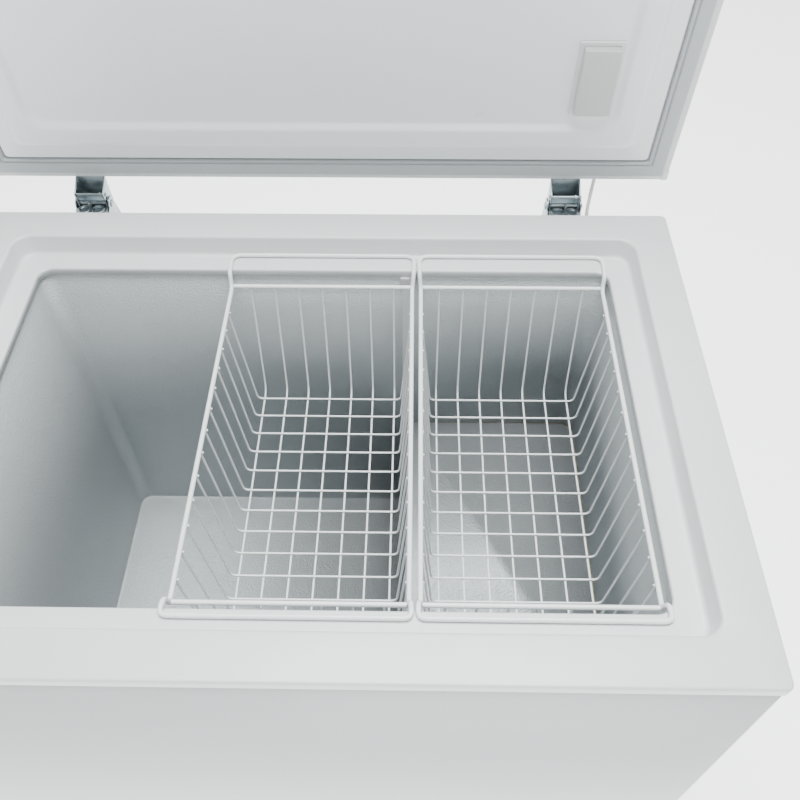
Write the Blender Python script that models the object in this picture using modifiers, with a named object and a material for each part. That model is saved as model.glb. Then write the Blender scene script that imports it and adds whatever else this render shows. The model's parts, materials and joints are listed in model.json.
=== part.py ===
"""A chest freezer with its lid open: cabinet, lid, two sprung hinges and two hanging wire baskets.

Metres, +Z up, front towards -Y, standing on z = 0. The lid rests fully open. The lid's pieces are
modelled as they lie when it is shut and hang on an empty at the pivot, which is turned to open them.
"""

from math import cos, pi, radians, sin

import bmesh
import bpy
from mathutils import Vector

MM = 0.001
GAP = 0.3 * MM  # between pieces that touch

# The cabinet.
WIDTH = 1000 * MM
DEPTH = 700 * MM
RIM_Z = 785 * MM
FOOT_HEIGHT = 28 * MM
SHEET = 0.9 * MM
RIM_WIDTH = 52 * MM
STEP_DROP = 30 * MM
STEP_DRAFT = 4.6 * MM
LEDGE_WIDTH = 31.6 * MM
LEDGE_LIP = 12 * MM
RIM_THICK = 2 * MM
WALL = RIM_WIDTH + STEP_DRAFT + LEDGE_WIDTH  # from the outer face to the liner's inner face
CORNER = 20 * MM
FLOOR_Z = RIM_Z - 654 * MM
BENCH_Z = RIM_Z - 396 * MM  # top of the raised step over the compressor
BENCH_X = WIDTH / 2 - 378 * MM  # the raised step's left side
LINER_THICK = 0.8 * MM
SHELL_BEND = 6 * MM
SHELL_TURN_IN = 25 * MM  # turned in behind, round the back panel
SHELL_CLEAR = 3 * MM  # inside the shell, past its bends
PANEL_CLEAR = 7 * MM
RIM_OVERHANG = 2.5 * MM  # past the shell
RIM_CORNER = 8 * MM
RIM_EDGE = 14 * MM
FOLD_RADIUS = 3 * MM
STRIP_WIDTH = 15 * MM
PAN_TOP = FOOT_HEIGHT + GAP + SHEET
FOOT_RADIUS = 22 * MM
FOOT_INSET_X = 70 * MM
FOOT_INSET_Y = 60 * MM

# The compressor and its bay under the raised step.
BAY_WALL = 58 * MM  # foam between the step and the bay
BAY_X = BENCH_X + BAY_WALL
BAY_TOP = BENCH_Z - BAY_WALL
CAN_RADIUS = 72 * MM
CAN_HEIGHT = 165 * MM
CAN_DOME = 40 * MM
CAN_FLARE = 20 * MM
PLATE_THICK = 3 * MM
PLATE_HALF_Y = 110 * MM
PLATE_CLEAR = 12 * MM
PIPE_RADIUS = 4 * MM
PIPE_RISE = 60 * MM  # above the can's base
PIPE_BEND = 25 * MM
BOX_HALF_X = 30 * MM
BOX_DEPTH = 40 * MM
BOX_LOW = 45 * MM
BOX_HIGH = 100 * MM

# The vent on the right side, in front of the compressor.
VENT_Y = 120 * MM
VENT_Z = 180 * MM
VENT_LENGTH = 260 * MM
VENT_HEIGHT = 170 * MM
VENT_THICK = 3 * MM
VENT_LAP = 8 * MM  # over the hole in the shell
SLOT_COUNT = 7
SLOT_PITCH = 20 * MM
SLOT_HEIGHT = 8 * MM
SLOT_INSET = 20 * MM

# The controls and the drain, low on the front.
CONTROL_X = WIDTH / 2 - 130 * MM
CONTROL_Z = 120 * MM
CONTROL_HALF_X = 75 * MM
CONTROL_HALF_Z = 28 * MM
CONTROL_THICK = 4 * MM
KNOB_OFFSET = 35 * MM
KNOB_RADIUS = 17 * MM
KNOB_DEPTH = 14 * MM
POINTER_WIDTH = 2 * MM
DRAIN_X = 90 * MM - WIDTH / 2
DRAIN_Z = 75 * MM
DRAIN_RADIUS = 15 * MM
DRAIN_DEPTH = 12 * MM
GLAND_DEPTH = 10 * MM
MAINS_GLAND_X = WIDTH / 2 - 60 * MM
MAINS_GLAND_Z = 70 * MM
MAINS_GLAND_RADIUS = 9 * MM

# The lid, shut.
LID_OVERHANG = 6.5 * MM
LID_REAR = 1 * MM  # past the cabinet's back
LID_FRONT = 4 * MM
LID_BOTTOM = 5 * MM  # above the rim
LID_HEIGHT = 58 * MM
LID_FLANGE = 9.5 * MM
GASKET_WIDTH = 25 * MM
LID_OPEN = 86
PIVOT_BACK = 38 * MM  # behind the cabinet's back
PIVOT_DROP = 12 * MM  # below the rim
LID_BEND = 4 * MM
LID_RETURN = 3 * MM
LID_HALF_X = WIDTH / 2 + LID_OVERHANG
LID_HALF_Y = (DEPTH + LID_REAR + LID_FRONT) / 2
LID_MIDDLE = -PIVOT_BACK + LID_REAR - LID_HALF_Y
GASKET_HEIGHT = 8 * MM
GASKET_EDGE = 3 * MM
GASKET_CORNER = 5 * MM
PANEL_THICK = 1.5 * MM
PANEL_FACE = PIVOT_DROP + 2.5 * MM
PANEL_STEPS = ((61 * MM, 0.0), (69 * MM, 9 * MM), (95 * MM, 9 * MM), (103 * MM, 4 * MM))
CORNERS = ((-1, -1), (1, -1), (-1, 1), (1, 1))
CAP_PROUD = 1 * MM
CAP_WALL = 4 * MM
CAP_WIDTH = 9.2 * MM
CAP_LENGTH = 18 * MM
CAP_HEIGHT = 30 * MM
HANDLE_HALF_X = 110 * MM
HANDLE_HALF_Z = 20 * MM
HANDLE_DEPTH = 24 * MM
HANDLE_RISE = 26 * MM
HANDLE_WALL = 18 * MM
LAMP_X = WIDTH / 2 - 130 * MM
LAMP_INSET = 120 * MM
LAMP_WIDTH = 60 * MM
LAMP_LENGTH = 110 * MM
LAMP_BASE = 3 * MM
LAMP_COVER = 11 * MM
LAMP_MARGIN = 6 * MM
CABLE_X = WIDTH / 2 - 100 * MM
CABLE_RADIUS = 2.8 * MM
CABLE_Z = RIM_Z - 70 * MM
CABLE_GLAND_RADIUS = 7 * MM
CABLE_BENDS = (  # where the cable goes, from where it leaves its gland
    (0.0, 6 * MM, 0.0),
    (-2 * MM, 22 * MM, 12 * MM),
    (-4 * MM, 31 * MM, 46 * MM),
    (1 * MM, 51 * MM, 66 * MM),
    (5 * MM, 63 * MM, 86 * MM),
    (6 * MM, 65 * MM, 96 * MM),
)

# The part stands centred on the origin with its lid open, so the cabinet's middle is forward of it.
CABINET_Y = -45.8 * MM
BACK_Y = DEPTH / 2
PIVOT_Y = BACK_Y + PIVOT_BACK
PIVOT_Z = RIM_Z - PIVOT_DROP

# The hinges.
HINGE_X = 357 * MM
HINGE_WIDTH = 52 * MM
HINGE_SHEET = 2 * MM
LEAF_WIDTH = 44 * MM
HINGE_HEIGHT = 125 * MM
PIN_RADIUS = 4 * MM
CAM_RADIUS = 2.2 * MM
CAM_Y = -20 * MM  # the cam pin from the pivot, lid shut
CAM_Z = -3 * MM
YOKE_Z = RIM_Z - 12 * MM  # top of the spring plate, lid open
YOKE_THICK = 2 * MM
YOKE_Y = 22 * MM
SPRING_RADIUS = 8 * MM
SPRING_WIRE = 1.3 * MM
SPRING_SPACING = 21 * MM
SPRING_TURNS = 9
SPRING_SEAT_Z = RIM_Z - 106 * MM
SPRING_STEPS = 8  # points in a turn
EAR_RADIUS = 12 * MM
CHEEK_RADIUS = 9 * MM
LEAF_WEB_Z = 18 * MM  # from the pivot, lid shut
TONGUE_WIDTH = 3 * MM
TONGUE_HEIGHT = 14 * MM

# The baskets.
BASKET_WIDTH = 261 * MM  # between the side rails' middles
BASKET_PITCH = 273.5 * MM
BASKET_RIGHT_X = WIDTH / 2 - 227.5 * MM
HANGER_FLARE = 3 * MM
RAIL_WIRE = 3 * MM
MESH_WIRE = 1.5 * MM
RAIL_Z = RIM_Z - 46 * MM
HANGER_BACK = 61 * MM  # from the cabinet's back face
HANGER_FRONT = 622 * MM
BACK_BAR = 106 * MM
FRONT_BAR = 599 * MM
BASKET_DEPTH = 197 * MM
END_TAPER = 31 * MM
FRONT_TAPER = 14 * MM
SIDE_TAPER = 17 * MM
LONG_WIRES = 7
LONG_SPACING = 34.5 * MM
CROSS_WIRES = 13
CROSS_FIRST = 157 * MM
CROSS_SPACING = 34.4 * MM
MESH_BEND = 12 * MM
SIDE_BEND = 8 * MM
HANGER_CORNER = 12 * MM
HANGER_LIP = 10 * MM  # where a rail has come up onto the ledge
BAR_END = 2 * MM
STUB = 8 * MM  # of side rail left on each end
RISER_SPLIT = 2 * MM  # above the bend
WELD = 0.5 * MM  # how far crossing wires are pressed into each other


def clear_scene():
    for obj in list(bpy.data.objects):
        bpy.data.objects.remove(obj, do_unlink=True)


clear_scene()
PARTS = bpy.data.collections.new("chest_freezer")
CUTTERS = bpy.data.collections.new("cutters")
bpy.context.scene.collection.children.link(PARTS)
bpy.context.scene.collection.children.link(CUTTERS)


def material(name, colour, roughness, metallic=0.0):
    made = bpy.data.materials.new(name)
    made.use_nodes = True
    shader = made.node_tree.nodes["Principled BSDF"]
    shader.inputs["Base Color"].default_value = (*colour, 1.0)
    shader.inputs["Roughness"].default_value = roughness
    shader.inputs["Metallic"].default_value = metallic
    return made


WHITE_STEEL = material("white painted steel", (0.80, 0.81, 0.80), 0.35)
WHITE_PLASTIC = material("white plastic", (0.82, 0.83, 0.82), 0.45)
ALUMINIUM = material("embossed aluminium", (0.50, 0.52, 0.53), 0.40, 1.0)
ZINC = material("zinc plated steel", (0.45, 0.50, 0.52), 0.30, 1.0)
COATED_WIRE = material("white coated wire", (0.84, 0.86, 0.87), 0.35)
GASKET_RUBBER = material("grey gasket", (0.36, 0.38, 0.39), 0.60)
FOAM = material("insulating foam", (0.75, 0.62, 0.35), 0.90)
BLACK_STEEL = material("black painted steel", (0.02, 0.02, 0.02), 0.40)
BLACK_PLASTIC = material("black plastic", (0.03, 0.03, 0.03), 0.50)
COPPER = material("copper", (0.72, 0.38, 0.24), 0.35, 1.0)
CLEAR_PLASTIC = material("clear plastic", (0.78, 0.80, 0.78), 0.25)


def empty(name, location, tilt=0.0):
    made = bpy.data.objects.new(name, None)
    made.location = location
    made.rotation_euler = (tilt, 0.0, 0.0)
    PARTS.objects.link(made)
    return made


CABINET = empty("cabinet_frame", (0.0, CABINET_Y, 0.0))
LID = empty("lid_pivot", (0.0, CABINET_Y + PIVOT_Y, PIVOT_Z), radians(-LID_OPEN))


def place(obj, parent, where=(0.0, 0.0, 0.0)):
    obj.parent = parent
    obj.location = where
    return obj


def mesh_object(name, bm, look):
    mesh = bpy.data.meshes.new(name)
    bmesh.ops.recalc_face_normals(bm, faces=bm.faces)
    bm.to_mesh(mesh)
    bm.free()
    mesh.materials.append(look)
    made = bpy.data.objects.new(name, mesh)
    PARTS.objects.link(made)
    return made


def smooth(obj, angle=35):
    obj.data.shade_smooth()
    obj.data.set_sharp_from_angle(angle=radians(angle))
    return obj


def box(name, low, high, look, parent=None, bevel=0.0):
    """A box between two corners, given in its parent's axes."""
    low, high = Vector(low), Vector(high)
    bm = bmesh.new()
    bmesh.ops.create_cube(bm, size=1.0)
    bmesh.ops.scale(bm, vec=high - low, verts=bm.verts)
    made = mesh_object(name, bm, look)
    if bevel:
        edge = made.modifiers.new("rounded edges", "BEVEL")
        edge.width = bevel
        edge.segments = 2
        edge.limit_method = "ANGLE"
    return place(made, parent, (low + high) / 2)


def cylinder(name, radius, length, axis, look, sides=16):
    bm = bmesh.new()
    bmesh.ops.create_cone(
        bm, cap_ends=True, segments=sides, radius1=radius, radius2=radius, depth=length
    )
    made = smooth(mesh_object(name, bm, look))
    if axis == "X":
        made.rotation_euler = (0.0, radians(90), 0.0)
    if axis == "Y":
        made.rotation_euler = (radians(90), 0.0, 0.0)
    return made


def rounded_loop(half_x, half_y, radius, z, middle_y=0.0, steps=3):
    """The points of a rectangle with round corners, at one height."""
    points = []
    for corner, (sx, sy) in enumerate(((1, 1), (-1, 1), (-1, -1), (1, -1))):
        for step in range(steps + 1):
            turn = (corner + step / steps) * pi / 2
            x = sx * (half_x - radius) + radius * cos(turn)
            y = middle_y + sy * (half_y - radius) + radius * sin(turn)
            points.append(Vector((x, y, z)))
    return points


def inset_loop(inset, z, radius):
    """The lid's outline at one height, brought in by a distance."""
    return rounded_loop(LID_HALF_X - inset, LID_HALF_Y - inset, radius, z, LID_MIDDLE)


def lofted(name, loops, look, closed_ring=False, cap_start=False, cap_end=False):
    """A loop of points drawn out through further loops, as a sheet, a ring or a capped body."""
    bm = bmesh.new()
    verts = [bm.verts.new(point) for point in loops[0]]
    edges = [bm.edges.new((verts[i - 1], verts[i])) for i in range(len(verts))]
    if cap_start:
        bmesh.ops.contextual_create(bm, geom=verts)
    for points in loops[1:] + (loops[:1] if closed_ring else []):
        grown = bmesh.ops.extrude_edge_only(bm, edges=edges)["geom"]
        fresh = {item.co.to_tuple(7): item for item in grown if isinstance(item, bmesh.types.BMVert)}
        verts = [fresh[vert.co.to_tuple(7)] for vert in verts]
        edges = [bm.edges.get((verts[i - 1], verts[i])) for i in range(len(verts))]
        for vert, point in zip(verts, points):
            vert.co = point
    if cap_end:
        bmesh.ops.contextual_create(bm, geom=verts)
    if closed_ring:
        bmesh.ops.remove_doubles(bm, verts=bm.verts, dist=0.01 * MM)
    return mesh_object(name, bm, look)


def solidify(obj, thickness, offset):
    sheet = obj.modifiers.new("thickness", "SOLIDIFY")
    sheet.thickness = thickness
    sheet.offset = offset
    return obj


def tube(name, points, radius, look, cyclic=False, sides_level=2):
    curve = bpy.data.curves.new(name, "CURVE")
    curve.dimensions = "3D"
    curve.bevel_depth = radius
    curve.bevel_resolution = sides_level
    curve.use_fill_caps = True
    spline = curve.splines.new("POLY")
    spline.points.add(len(points) - 1)
    for target, point in zip(spline.points, points):
        target.co = (*point, 1.0)
    spline.use_cyclic_u = cyclic
    curve.materials.append(look)
    made = bpy.data.objects.new(name, curve)
    PARTS.objects.link(made)
    return made


def plate(name, outline, thickness, look):
    """A flat plate in the YZ plane, its outline given as (y, z), centred on x = 0."""
    curve = bpy.data.curves.new(name, "CURVE")
    curve.dimensions = "2D"
    curve.fill_mode = "BOTH"
    curve.extrude = thickness / 2
    spline = curve.splines.new("POLY")
    spline.points.add(len(outline) - 1)
    for target, (y, z) in zip(spline.points, outline):
        target.co = (y, z, 0.0, 1.0)
    spline.use_cyclic_u = True
    curve.materials.append(look)
    made = bpy.data.objects.new(name, curve)
    made.rotation_euler = (radians(90), 0.0, radians(90))
    PARTS.objects.link(made)
    return made


def as_mesh(obj):
    """The curve or modified object made a plain mesh in world axes, its seams welded."""
    bpy.context.view_layer.update()
    graph = bpy.context.evaluated_depsgraph_get()
    mesh = bpy.data.meshes.new_from_object(obj.evaluated_get(graph), depsgraph=graph)
    bm = bmesh.new()
    bm.from_mesh(mesh)
    bmesh.ops.transform(bm, matrix=obj.matrix_world, verts=bm.verts)
    bmesh.ops.remove_doubles(bm, verts=bm.verts, dist=0.01 * MM)
    bmesh.ops.recalc_face_normals(bm, faces=bm.faces)
    bm.to_mesh(mesh)
    bm.free()
    name = obj.name
    bpy.data.objects.remove(obj, do_unlink=True)
    made = bpy.data.objects.new(name, mesh)
    PARTS.objects.link(made)
    return made


def joined(name, pieces):
    """Several plain meshes in one object, still separate shapes."""
    bm = bmesh.new()
    look = pieces[0].data.materials[0]
    for piece in pieces:
        bm.from_mesh(piece.data)
        bpy.data.objects.remove(piece, do_unlink=True)
    mesh = bpy.data.meshes.new(name)
    bm.to_mesh(mesh)
    bm.free()
    mesh.materials.append(look)
    made = bpy.data.objects.new(name, mesh)
    PARTS.objects.link(made)
    return made


def boolean(target, operand, operation, overlapping=False):
    for collection in list(operand.users_collection):
        collection.objects.unlink(operand)
    CUTTERS.objects.link(operand)
    operand.hide_render = True
    operand.display_type = "WIRE"
    change = target.modifiers.new(operation.lower(), "BOOLEAN")
    change.operation = operation
    change.solver = "EXACT"
    change.use_self = overlapping
    change.object = operand
    return target


def cabinet_shell():
    """Painted steel wrapped round the front and sides, turned in a little at the back."""
    half_x, half_y = WIDTH / 2, DEPTH / 2
    low, high = FOOT_HEIGHT, RIM_Z - RIM_THICK - GAP
    outline = [Vector((half_x - SHELL_TURN_IN, half_y, 0.0))]
    corners = ((1, 1, 90, 0), (1, -1, 0, -90), (-1, -1, -90, -180), (-1, 1, -180, -270))
    for sx, sy, start, end in corners:
        for step in range(4):
            turn = radians(start + (end - start) * step / 3)
            x = sx * (half_x - SHELL_BEND) + SHELL_BEND * cos(turn)
            y = sy * (half_y - SHELL_BEND) + SHELL_BEND * sin(turn)
            outline.append(Vector((x, y, 0.0)))
    outline.append(Vector((SHELL_TURN_IN - half_x, half_y, 0.0)))
    bm = bmesh.new()
    verts = [bm.verts.new(point + Vector((0.0, 0.0, low))) for point in outline]
    edges = [bm.edges.new(pair) for pair in zip(verts, verts[1:])]
    wall = bmesh.ops.extrude_edge_only(bm, edges=edges)
    raised = [item for item in wall["geom"] if isinstance(item, bmesh.types.BMVert)]
    bmesh.ops.translate(bm, verts=raised, vec=(0.0, 0.0, high - low))
    shell = place(mesh_object("outer_shell", bm, WHITE_STEEL), CABINET)
    inward = Vector((0.0, 1.0, 0.0))
    front = min(shell.data.polygons, key=lambda face: face.center.y)
    solidify(shell, SHEET, 1.0 if front.normal.dot(inward) > 0 else -1.0)
    hole_y, hole_z = VENT_LENGTH / 2 - VENT_LAP, VENT_HEIGHT / 2 - VENT_LAP
    vent = box(
        "vent_cutter",
        (half_x - VENT_HEIGHT / 2, VENT_Y - hole_y, VENT_Z - hole_z),
        (half_x + VENT_HEIGHT / 2, VENT_Y + hole_y, VENT_Z + hole_z),
        WHITE_STEEL,
        CABINET,
    )
    boolean(shell, vent, "DIFFERENCE")


def vent_grille():
    """The louvred panel on the right side, in front of the compressor."""
    outer = WIDTH / 2 + GAP
    grille = box(
        "vent_grille",
        (outer, VENT_Y - VENT_LENGTH / 2, VENT_Z - VENT_HEIGHT / 2),
        (outer + VENT_THICK, VENT_Y + VENT_LENGTH / 2, VENT_Z + VENT_HEIGHT / 2),
        WHITE_PLASTIC,
        CABINET,
    )
    slots = []
    half_slot = VENT_LENGTH / 2 - SLOT_INSET
    for row in range(SLOT_COUNT):
        z = VENT_Z + (row - (SLOT_COUNT - 1) / 2) * SLOT_PITCH
        slot = box(
            f"slot_{row}",
            (outer - VENT_THICK, VENT_Y - half_slot, z - SLOT_HEIGHT / 2),
            (outer + 2 * VENT_THICK, VENT_Y + half_slot, z + SLOT_HEIGHT / 2),
            WHITE_PLASTIC,
            CABINET,
        )
        slots.append(as_mesh(slot))
    boolean(grille, joined("slots", slots), "DIFFERENCE")


def back_panel():
    """Sheet closing the back, lapping inside the shell's turned-in edges."""
    inside = BACK_Y - SHEET - GAP
    box(
        "back_panel",
        (PANEL_CLEAR - WIDTH / 2, inside - SHEET, PAN_TOP + GAP),
        (WIDTH / 2 - PANEL_CLEAR, inside, RIM_Z - RIM_THICK - 2 * GAP),
        WHITE_STEEL,
        CABINET,
    )


def rim_frame():
    """The white rim: flat top, a step down to the ledge that carries the baskets, and a lip."""
    half_x, half_y = WIDTH / 2, DEPTH / 2
    outer_x, outer_y = half_x + RIM_OVERHANG, half_y + RIM_OVERHANG
    inner = RIM_WIDTH + STEP_DRAFT
    ledge_z = RIM_Z - STEP_DROP
    loops = [
        rounded_loop(outer_x, outer_y, RIM_CORNER, RIM_Z - RIM_EDGE),
        rounded_loop(outer_x, outer_y, RIM_CORNER, RIM_Z),
        rounded_loop(half_x - RIM_WIDTH, half_y - RIM_WIDTH, CORNER, RIM_Z),
        rounded_loop(half_x - inner, half_y - inner, CORNER - STEP_DRAFT, ledge_z),
        rounded_loop(half_x - WALL, half_y - WALL, CORNER, ledge_z),
        rounded_loop(half_x - WALL, half_y - WALL, CORNER, ledge_z - LEDGE_LIP),
    ]
    frame = place(lofted("rim_frame", loops, WHITE_PLASTIC), CABINET)
    top = max(frame.data.polygons, key=lambda face: face.center.z)
    solidify(frame, RIM_THICK, -1.0 if top.normal.z > 0 else 1.0)
    return frame


def liner_walls():
    """Embossed aluminium wrapped round the inside, hanging behind the rim's lip."""
    half_x = WIDTH / 2 - WALL + RIM_THICK + GAP
    half_y = DEPTH / 2 - WALL + RIM_THICK + GAP
    top = RIM_Z - STEP_DROP - RIM_THICK - GAP
    radius = CORNER + RIM_THICK
    loops = [
        rounded_loop(half_x, half_y, radius, top),
        rounded_loop(half_x, half_y, radius, FLOOR_Z - LINER_THICK),
    ]
    walls = place(lofted("liner_walls", loops, ALUMINIUM), CABINET)
    right = max(walls.data.polygons, key=lambda face: face.center.x)
    solidify(walls, LINER_THICK, 1.0 if right.normal.x > 0 else -1.0)
    return walls


def liner_floor():
    """One bent sheet: the low floor, the riser and the raised step over the compressor."""
    half_x = WIDTH / 2 - WALL + RIM_THICK - 2 * GAP
    half_y = DEPTH / 2 - WALL + RIM_THICK - 2 * GAP
    floor = [(-half_x, FLOOR_Z), (BENCH_X, FLOOR_Z), (BENCH_X, BENCH_Z), (half_x, BENCH_Z)]
    bm = bmesh.new()
    verts = [bm.verts.new((x, -half_y, z)) for x, z in floor]
    edges = [bm.edges.new(pair) for pair in zip(verts, verts[1:])]
    spread = bmesh.ops.extrude_edge_only(bm, edges=edges)
    moved = [item for item in spread["geom"] if isinstance(item, bmesh.types.BMVert)]
    bmesh.ops.translate(bm, verts=moved, vec=(0.0, 2 * half_y, 0.0))
    tips = [vert for vert in bm.verts if abs(abs(vert.co.x) - half_x) < MM]
    bmesh.ops.bevel(
        bm, geom=tips, offset=CORNER, segments=3, profile=0.5, affect="VERTICES", material=-1
    )
    folds = [
        edge
        for edge in bm.edges
        if len(edge.link_faces) == 2 and abs(edge.verts[0].co.x - BENCH_X) < MM
    ]
    bmesh.ops.bevel(
        bm, geom=folds, offset=FOLD_RADIUS, segments=3, profile=0.5, affect="EDGES", material=-1
    )
    sheet = place(mesh_object("liner_floor", bm, ALUMINIUM), CABINET)
    low = min(sheet.data.polygons, key=lambda face: face.center.x)
    solidify(sheet, LINER_THICK, -1.0 if low.normal.z > 0 else 1.0)
    return sheet


def liner_joint_strip():
    """The strip that covers the liner's joint, down the back wall at the raised step's edge."""
    wall_y = BACK_Y - WALL + RIM_THICK
    box(
        "liner_joint_strip",
        (BENCH_X - STRIP_WIDTH / 2, wall_y - RIM_THICK, BENCH_Z + RIM_THICK),
        (BENCH_X + STRIP_WIDTH / 2, wall_y - GAP, RIM_Z - STEP_DROP - LEDGE_LIP - GAP),
        WHITE_PLASTIC,
        CABINET,
    )


def bench_cutter(name, clearance):
    """A block over everything under the raised step."""
    return box(
        name,
        (BENCH_X + clearance, -DEPTH / 2, FLOOR_Z - BAY_WALL),
        (WIDTH / 2, DEPTH / 2, BENCH_Z - abs(clearance)),
        FOAM,
        CABINET,
    )


def cabinet_foam():
    """Foam between the shell and the liner, hollowed under the raised step for the compressor."""
    half_x, half_y = WIDTH / 2 - SHELL_CLEAR, DEPTH / 2 - SHELL_CLEAR
    base = PAN_TOP + GAP
    foam = box(
        "cabinet_foam",
        (-half_x, -half_y, base),
        (half_x, half_y, RIM_Z - STEP_DROP - LEDGE_LIP),
        FOAM,
        CABINET,
    )
    cavity_x = WIDTH / 2 - WALL + RIM_THICK + LINER_THICK + 2 * GAP
    cavity_y = DEPTH / 2 - WALL + RIM_THICK + LINER_THICK + 2 * GAP
    radius = CORNER + RIM_THICK + LINER_THICK + GAP
    cavity = lofted(
        "cavity_cutter",
        [
            rounded_loop(cavity_x, cavity_y, radius, FLOOR_Z - LINER_THICK - GAP),
            rounded_loop(cavity_x, cavity_y, radius, RIM_Z),
        ],
        FOAM,
        cap_start=True,
        cap_end=True,
    )
    place(cavity, CABINET)
    boolean(cavity, bench_cutter("bench_keep", 2 * MM), "DIFFERENCE")
    boolean(foam, cavity, "DIFFERENCE")
    bay = box(
        "bay_cutter",
        (BAY_X, -DEPTH, 0.0),
        (WIDTH, DEPTH, BAY_TOP),
        FOAM,
        CABINET,
    )
    boolean(foam, bay, "DIFFERENCE")


def base_pan():
    """Steel sheet closing the bottom, inside the shell."""
    half_x, half_y = WIDTH / 2 - SHELL_CLEAR, DEPTH / 2 - SHELL_CLEAR
    box(
        "base_pan",
        (-half_x, -half_y, FOOT_HEIGHT + GAP),
        (half_x, half_y, PAN_TOP),
        WHITE_STEEL,
        CABINET,
    )


def feet():
    """Four plain fixed feet."""
    for number, (sx, sy) in enumerate(CORNERS, 1):
        x, y = sx * (WIDTH / 2 - FOOT_INSET_X), sy * (DEPTH / 2 - FOOT_INSET_Y)
        foot = cylinder(f"foot_{number}", FOOT_RADIUS, FOOT_HEIGHT, "Z", BLACK_PLASTIC)
        place(foot, CABINET, (x, y, FOOT_HEIGHT / 2))


def compressor():
    """The sealed compressor on its plate, with its terminal box and suction pipe."""
    x = (BAY_X + WIDTH / 2) / 2
    plate_top = PAN_TOP + GAP + PLATE_THICK
    box(
        "compressor_plate",
        (BAY_X + PLATE_CLEAR, VENT_Y - PLATE_HALF_Y, PAN_TOP + GAP),
        (WIDTH / 2 - PLATE_CLEAR, VENT_Y + PLATE_HALF_Y, plate_top),
        ZINC,
        CABINET,
        bevel=SHEET,
    )
    base = plate_top + GAP
    shoulder = base + CAN_HEIGHT - CAN_DOME
    profile = [(0.0, base + CAN_HEIGHT)]
    for step in range(1, 5):
        turn = step / 4 * pi / 2
        profile.append((CAN_RADIUS * sin(turn), shoulder + CAN_DOME * cos(turn)))
    profile += [(CAN_RADIUS, base + CAN_FLARE), (CAN_RADIUS * 0.8, base), (0.0, base)]
    bm = bmesh.new()
    verts = [bm.verts.new((r, 0.0, z)) for r, z in profile]
    for pair in zip(verts, verts[1:]):
        bm.edges.new(pair)
    can = mesh_object("compressor", bm, BLACK_STEEL)
    spin = can.modifiers.new("turned", "SCREW")
    spin.steps = 16
    spin.render_steps = 16
    spin.use_merge_vertices = True
    spin.merge_threshold = 0.0001
    place(smooth(can), CABINET, (x, VENT_Y, 0.0))
    box(
        "terminal_box",
        (x - BOX_HALF_X, VENT_Y - CAN_RADIUS - BOX_DEPTH, base + BOX_LOW),
        (x + BOX_HALF_X, VENT_Y - CAN_RADIUS - GAP, base + BOX_HIGH),
        BLACK_PLASTIC,
        CABINET,
        bevel=3 * MM,
    )
    can_back = VENT_Y + CAN_RADIUS
    bend_y = can_back + PIPE_BEND
    pipe_z = base + PIPE_RISE
    route = [(x, can_back + MM, pipe_z), (x, bend_y, pipe_z)]
    for step in range(1, 5):
        turn = step / 4 * pi / 2
        rise = PIPE_BEND * (1 - cos(turn))
        route.append((x, bend_y + PIPE_BEND * sin(turn), pipe_z + rise))
    route.append((x, bend_y + PIPE_BEND, BAY_TOP - GAP))
    place(tube("suction_pipe", route, PIPE_RADIUS, COPPER), CABINET)


def controls():
    """The thermostat's plate and knob low on the front, and the drain cap at the other end."""
    front = -DEPTH / 2
    box(
        "control_plate",
        (CONTROL_X - CONTROL_HALF_X, front - CONTROL_THICK, CONTROL_Z - CONTROL_HALF_Z),
        (CONTROL_X + CONTROL_HALF_X, front - GAP, CONTROL_Z + CONTROL_HALF_Z),
        WHITE_PLASTIC,
        CABINET,
        bevel=1.5 * MM,
    )
    knob_x = CONTROL_X + KNOB_OFFSET
    knob_back = front - CONTROL_THICK - GAP
    knob = cylinder("thermostat_knob", KNOB_RADIUS, KNOB_DEPTH, "Y", WHITE_PLASTIC, 20)
    place(knob, CABINET, (knob_x, knob_back - KNOB_DEPTH / 2, CONTROL_Z))
    pointer = box(
        "pointer_cutter",
        (knob_x - POINTER_WIDTH / 2, knob_back - 2 * KNOB_DEPTH, CONTROL_Z + KNOB_RADIUS * 0.4),
        (knob_x + POINTER_WIDTH / 2, knob_back - KNOB_DEPTH + MM, CONTROL_Z + KNOB_RADIUS * 2),
        WHITE_PLASTIC,
        CABINET,
    )
    boolean(knob, pointer, "DIFFERENCE")
    cap = cylinder("drain_cap", DRAIN_RADIUS, DRAIN_DEPTH, "Y", WHITE_PLASTIC, 16)
    place(cap, CABINET, (DRAIN_X, front - GAP - DRAIN_DEPTH / 2, DRAIN_Z))
    gland = cylinder("mains_cord_gland", MAINS_GLAND_RADIUS, GLAND_DEPTH, "Y", BLACK_PLASTIC, 16)
    place(gland, CABINET, (MAINS_GLAND_X, BACK_Y + GAP + GLAND_DEPTH / 2, MAINS_GLAND_Z))


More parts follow.
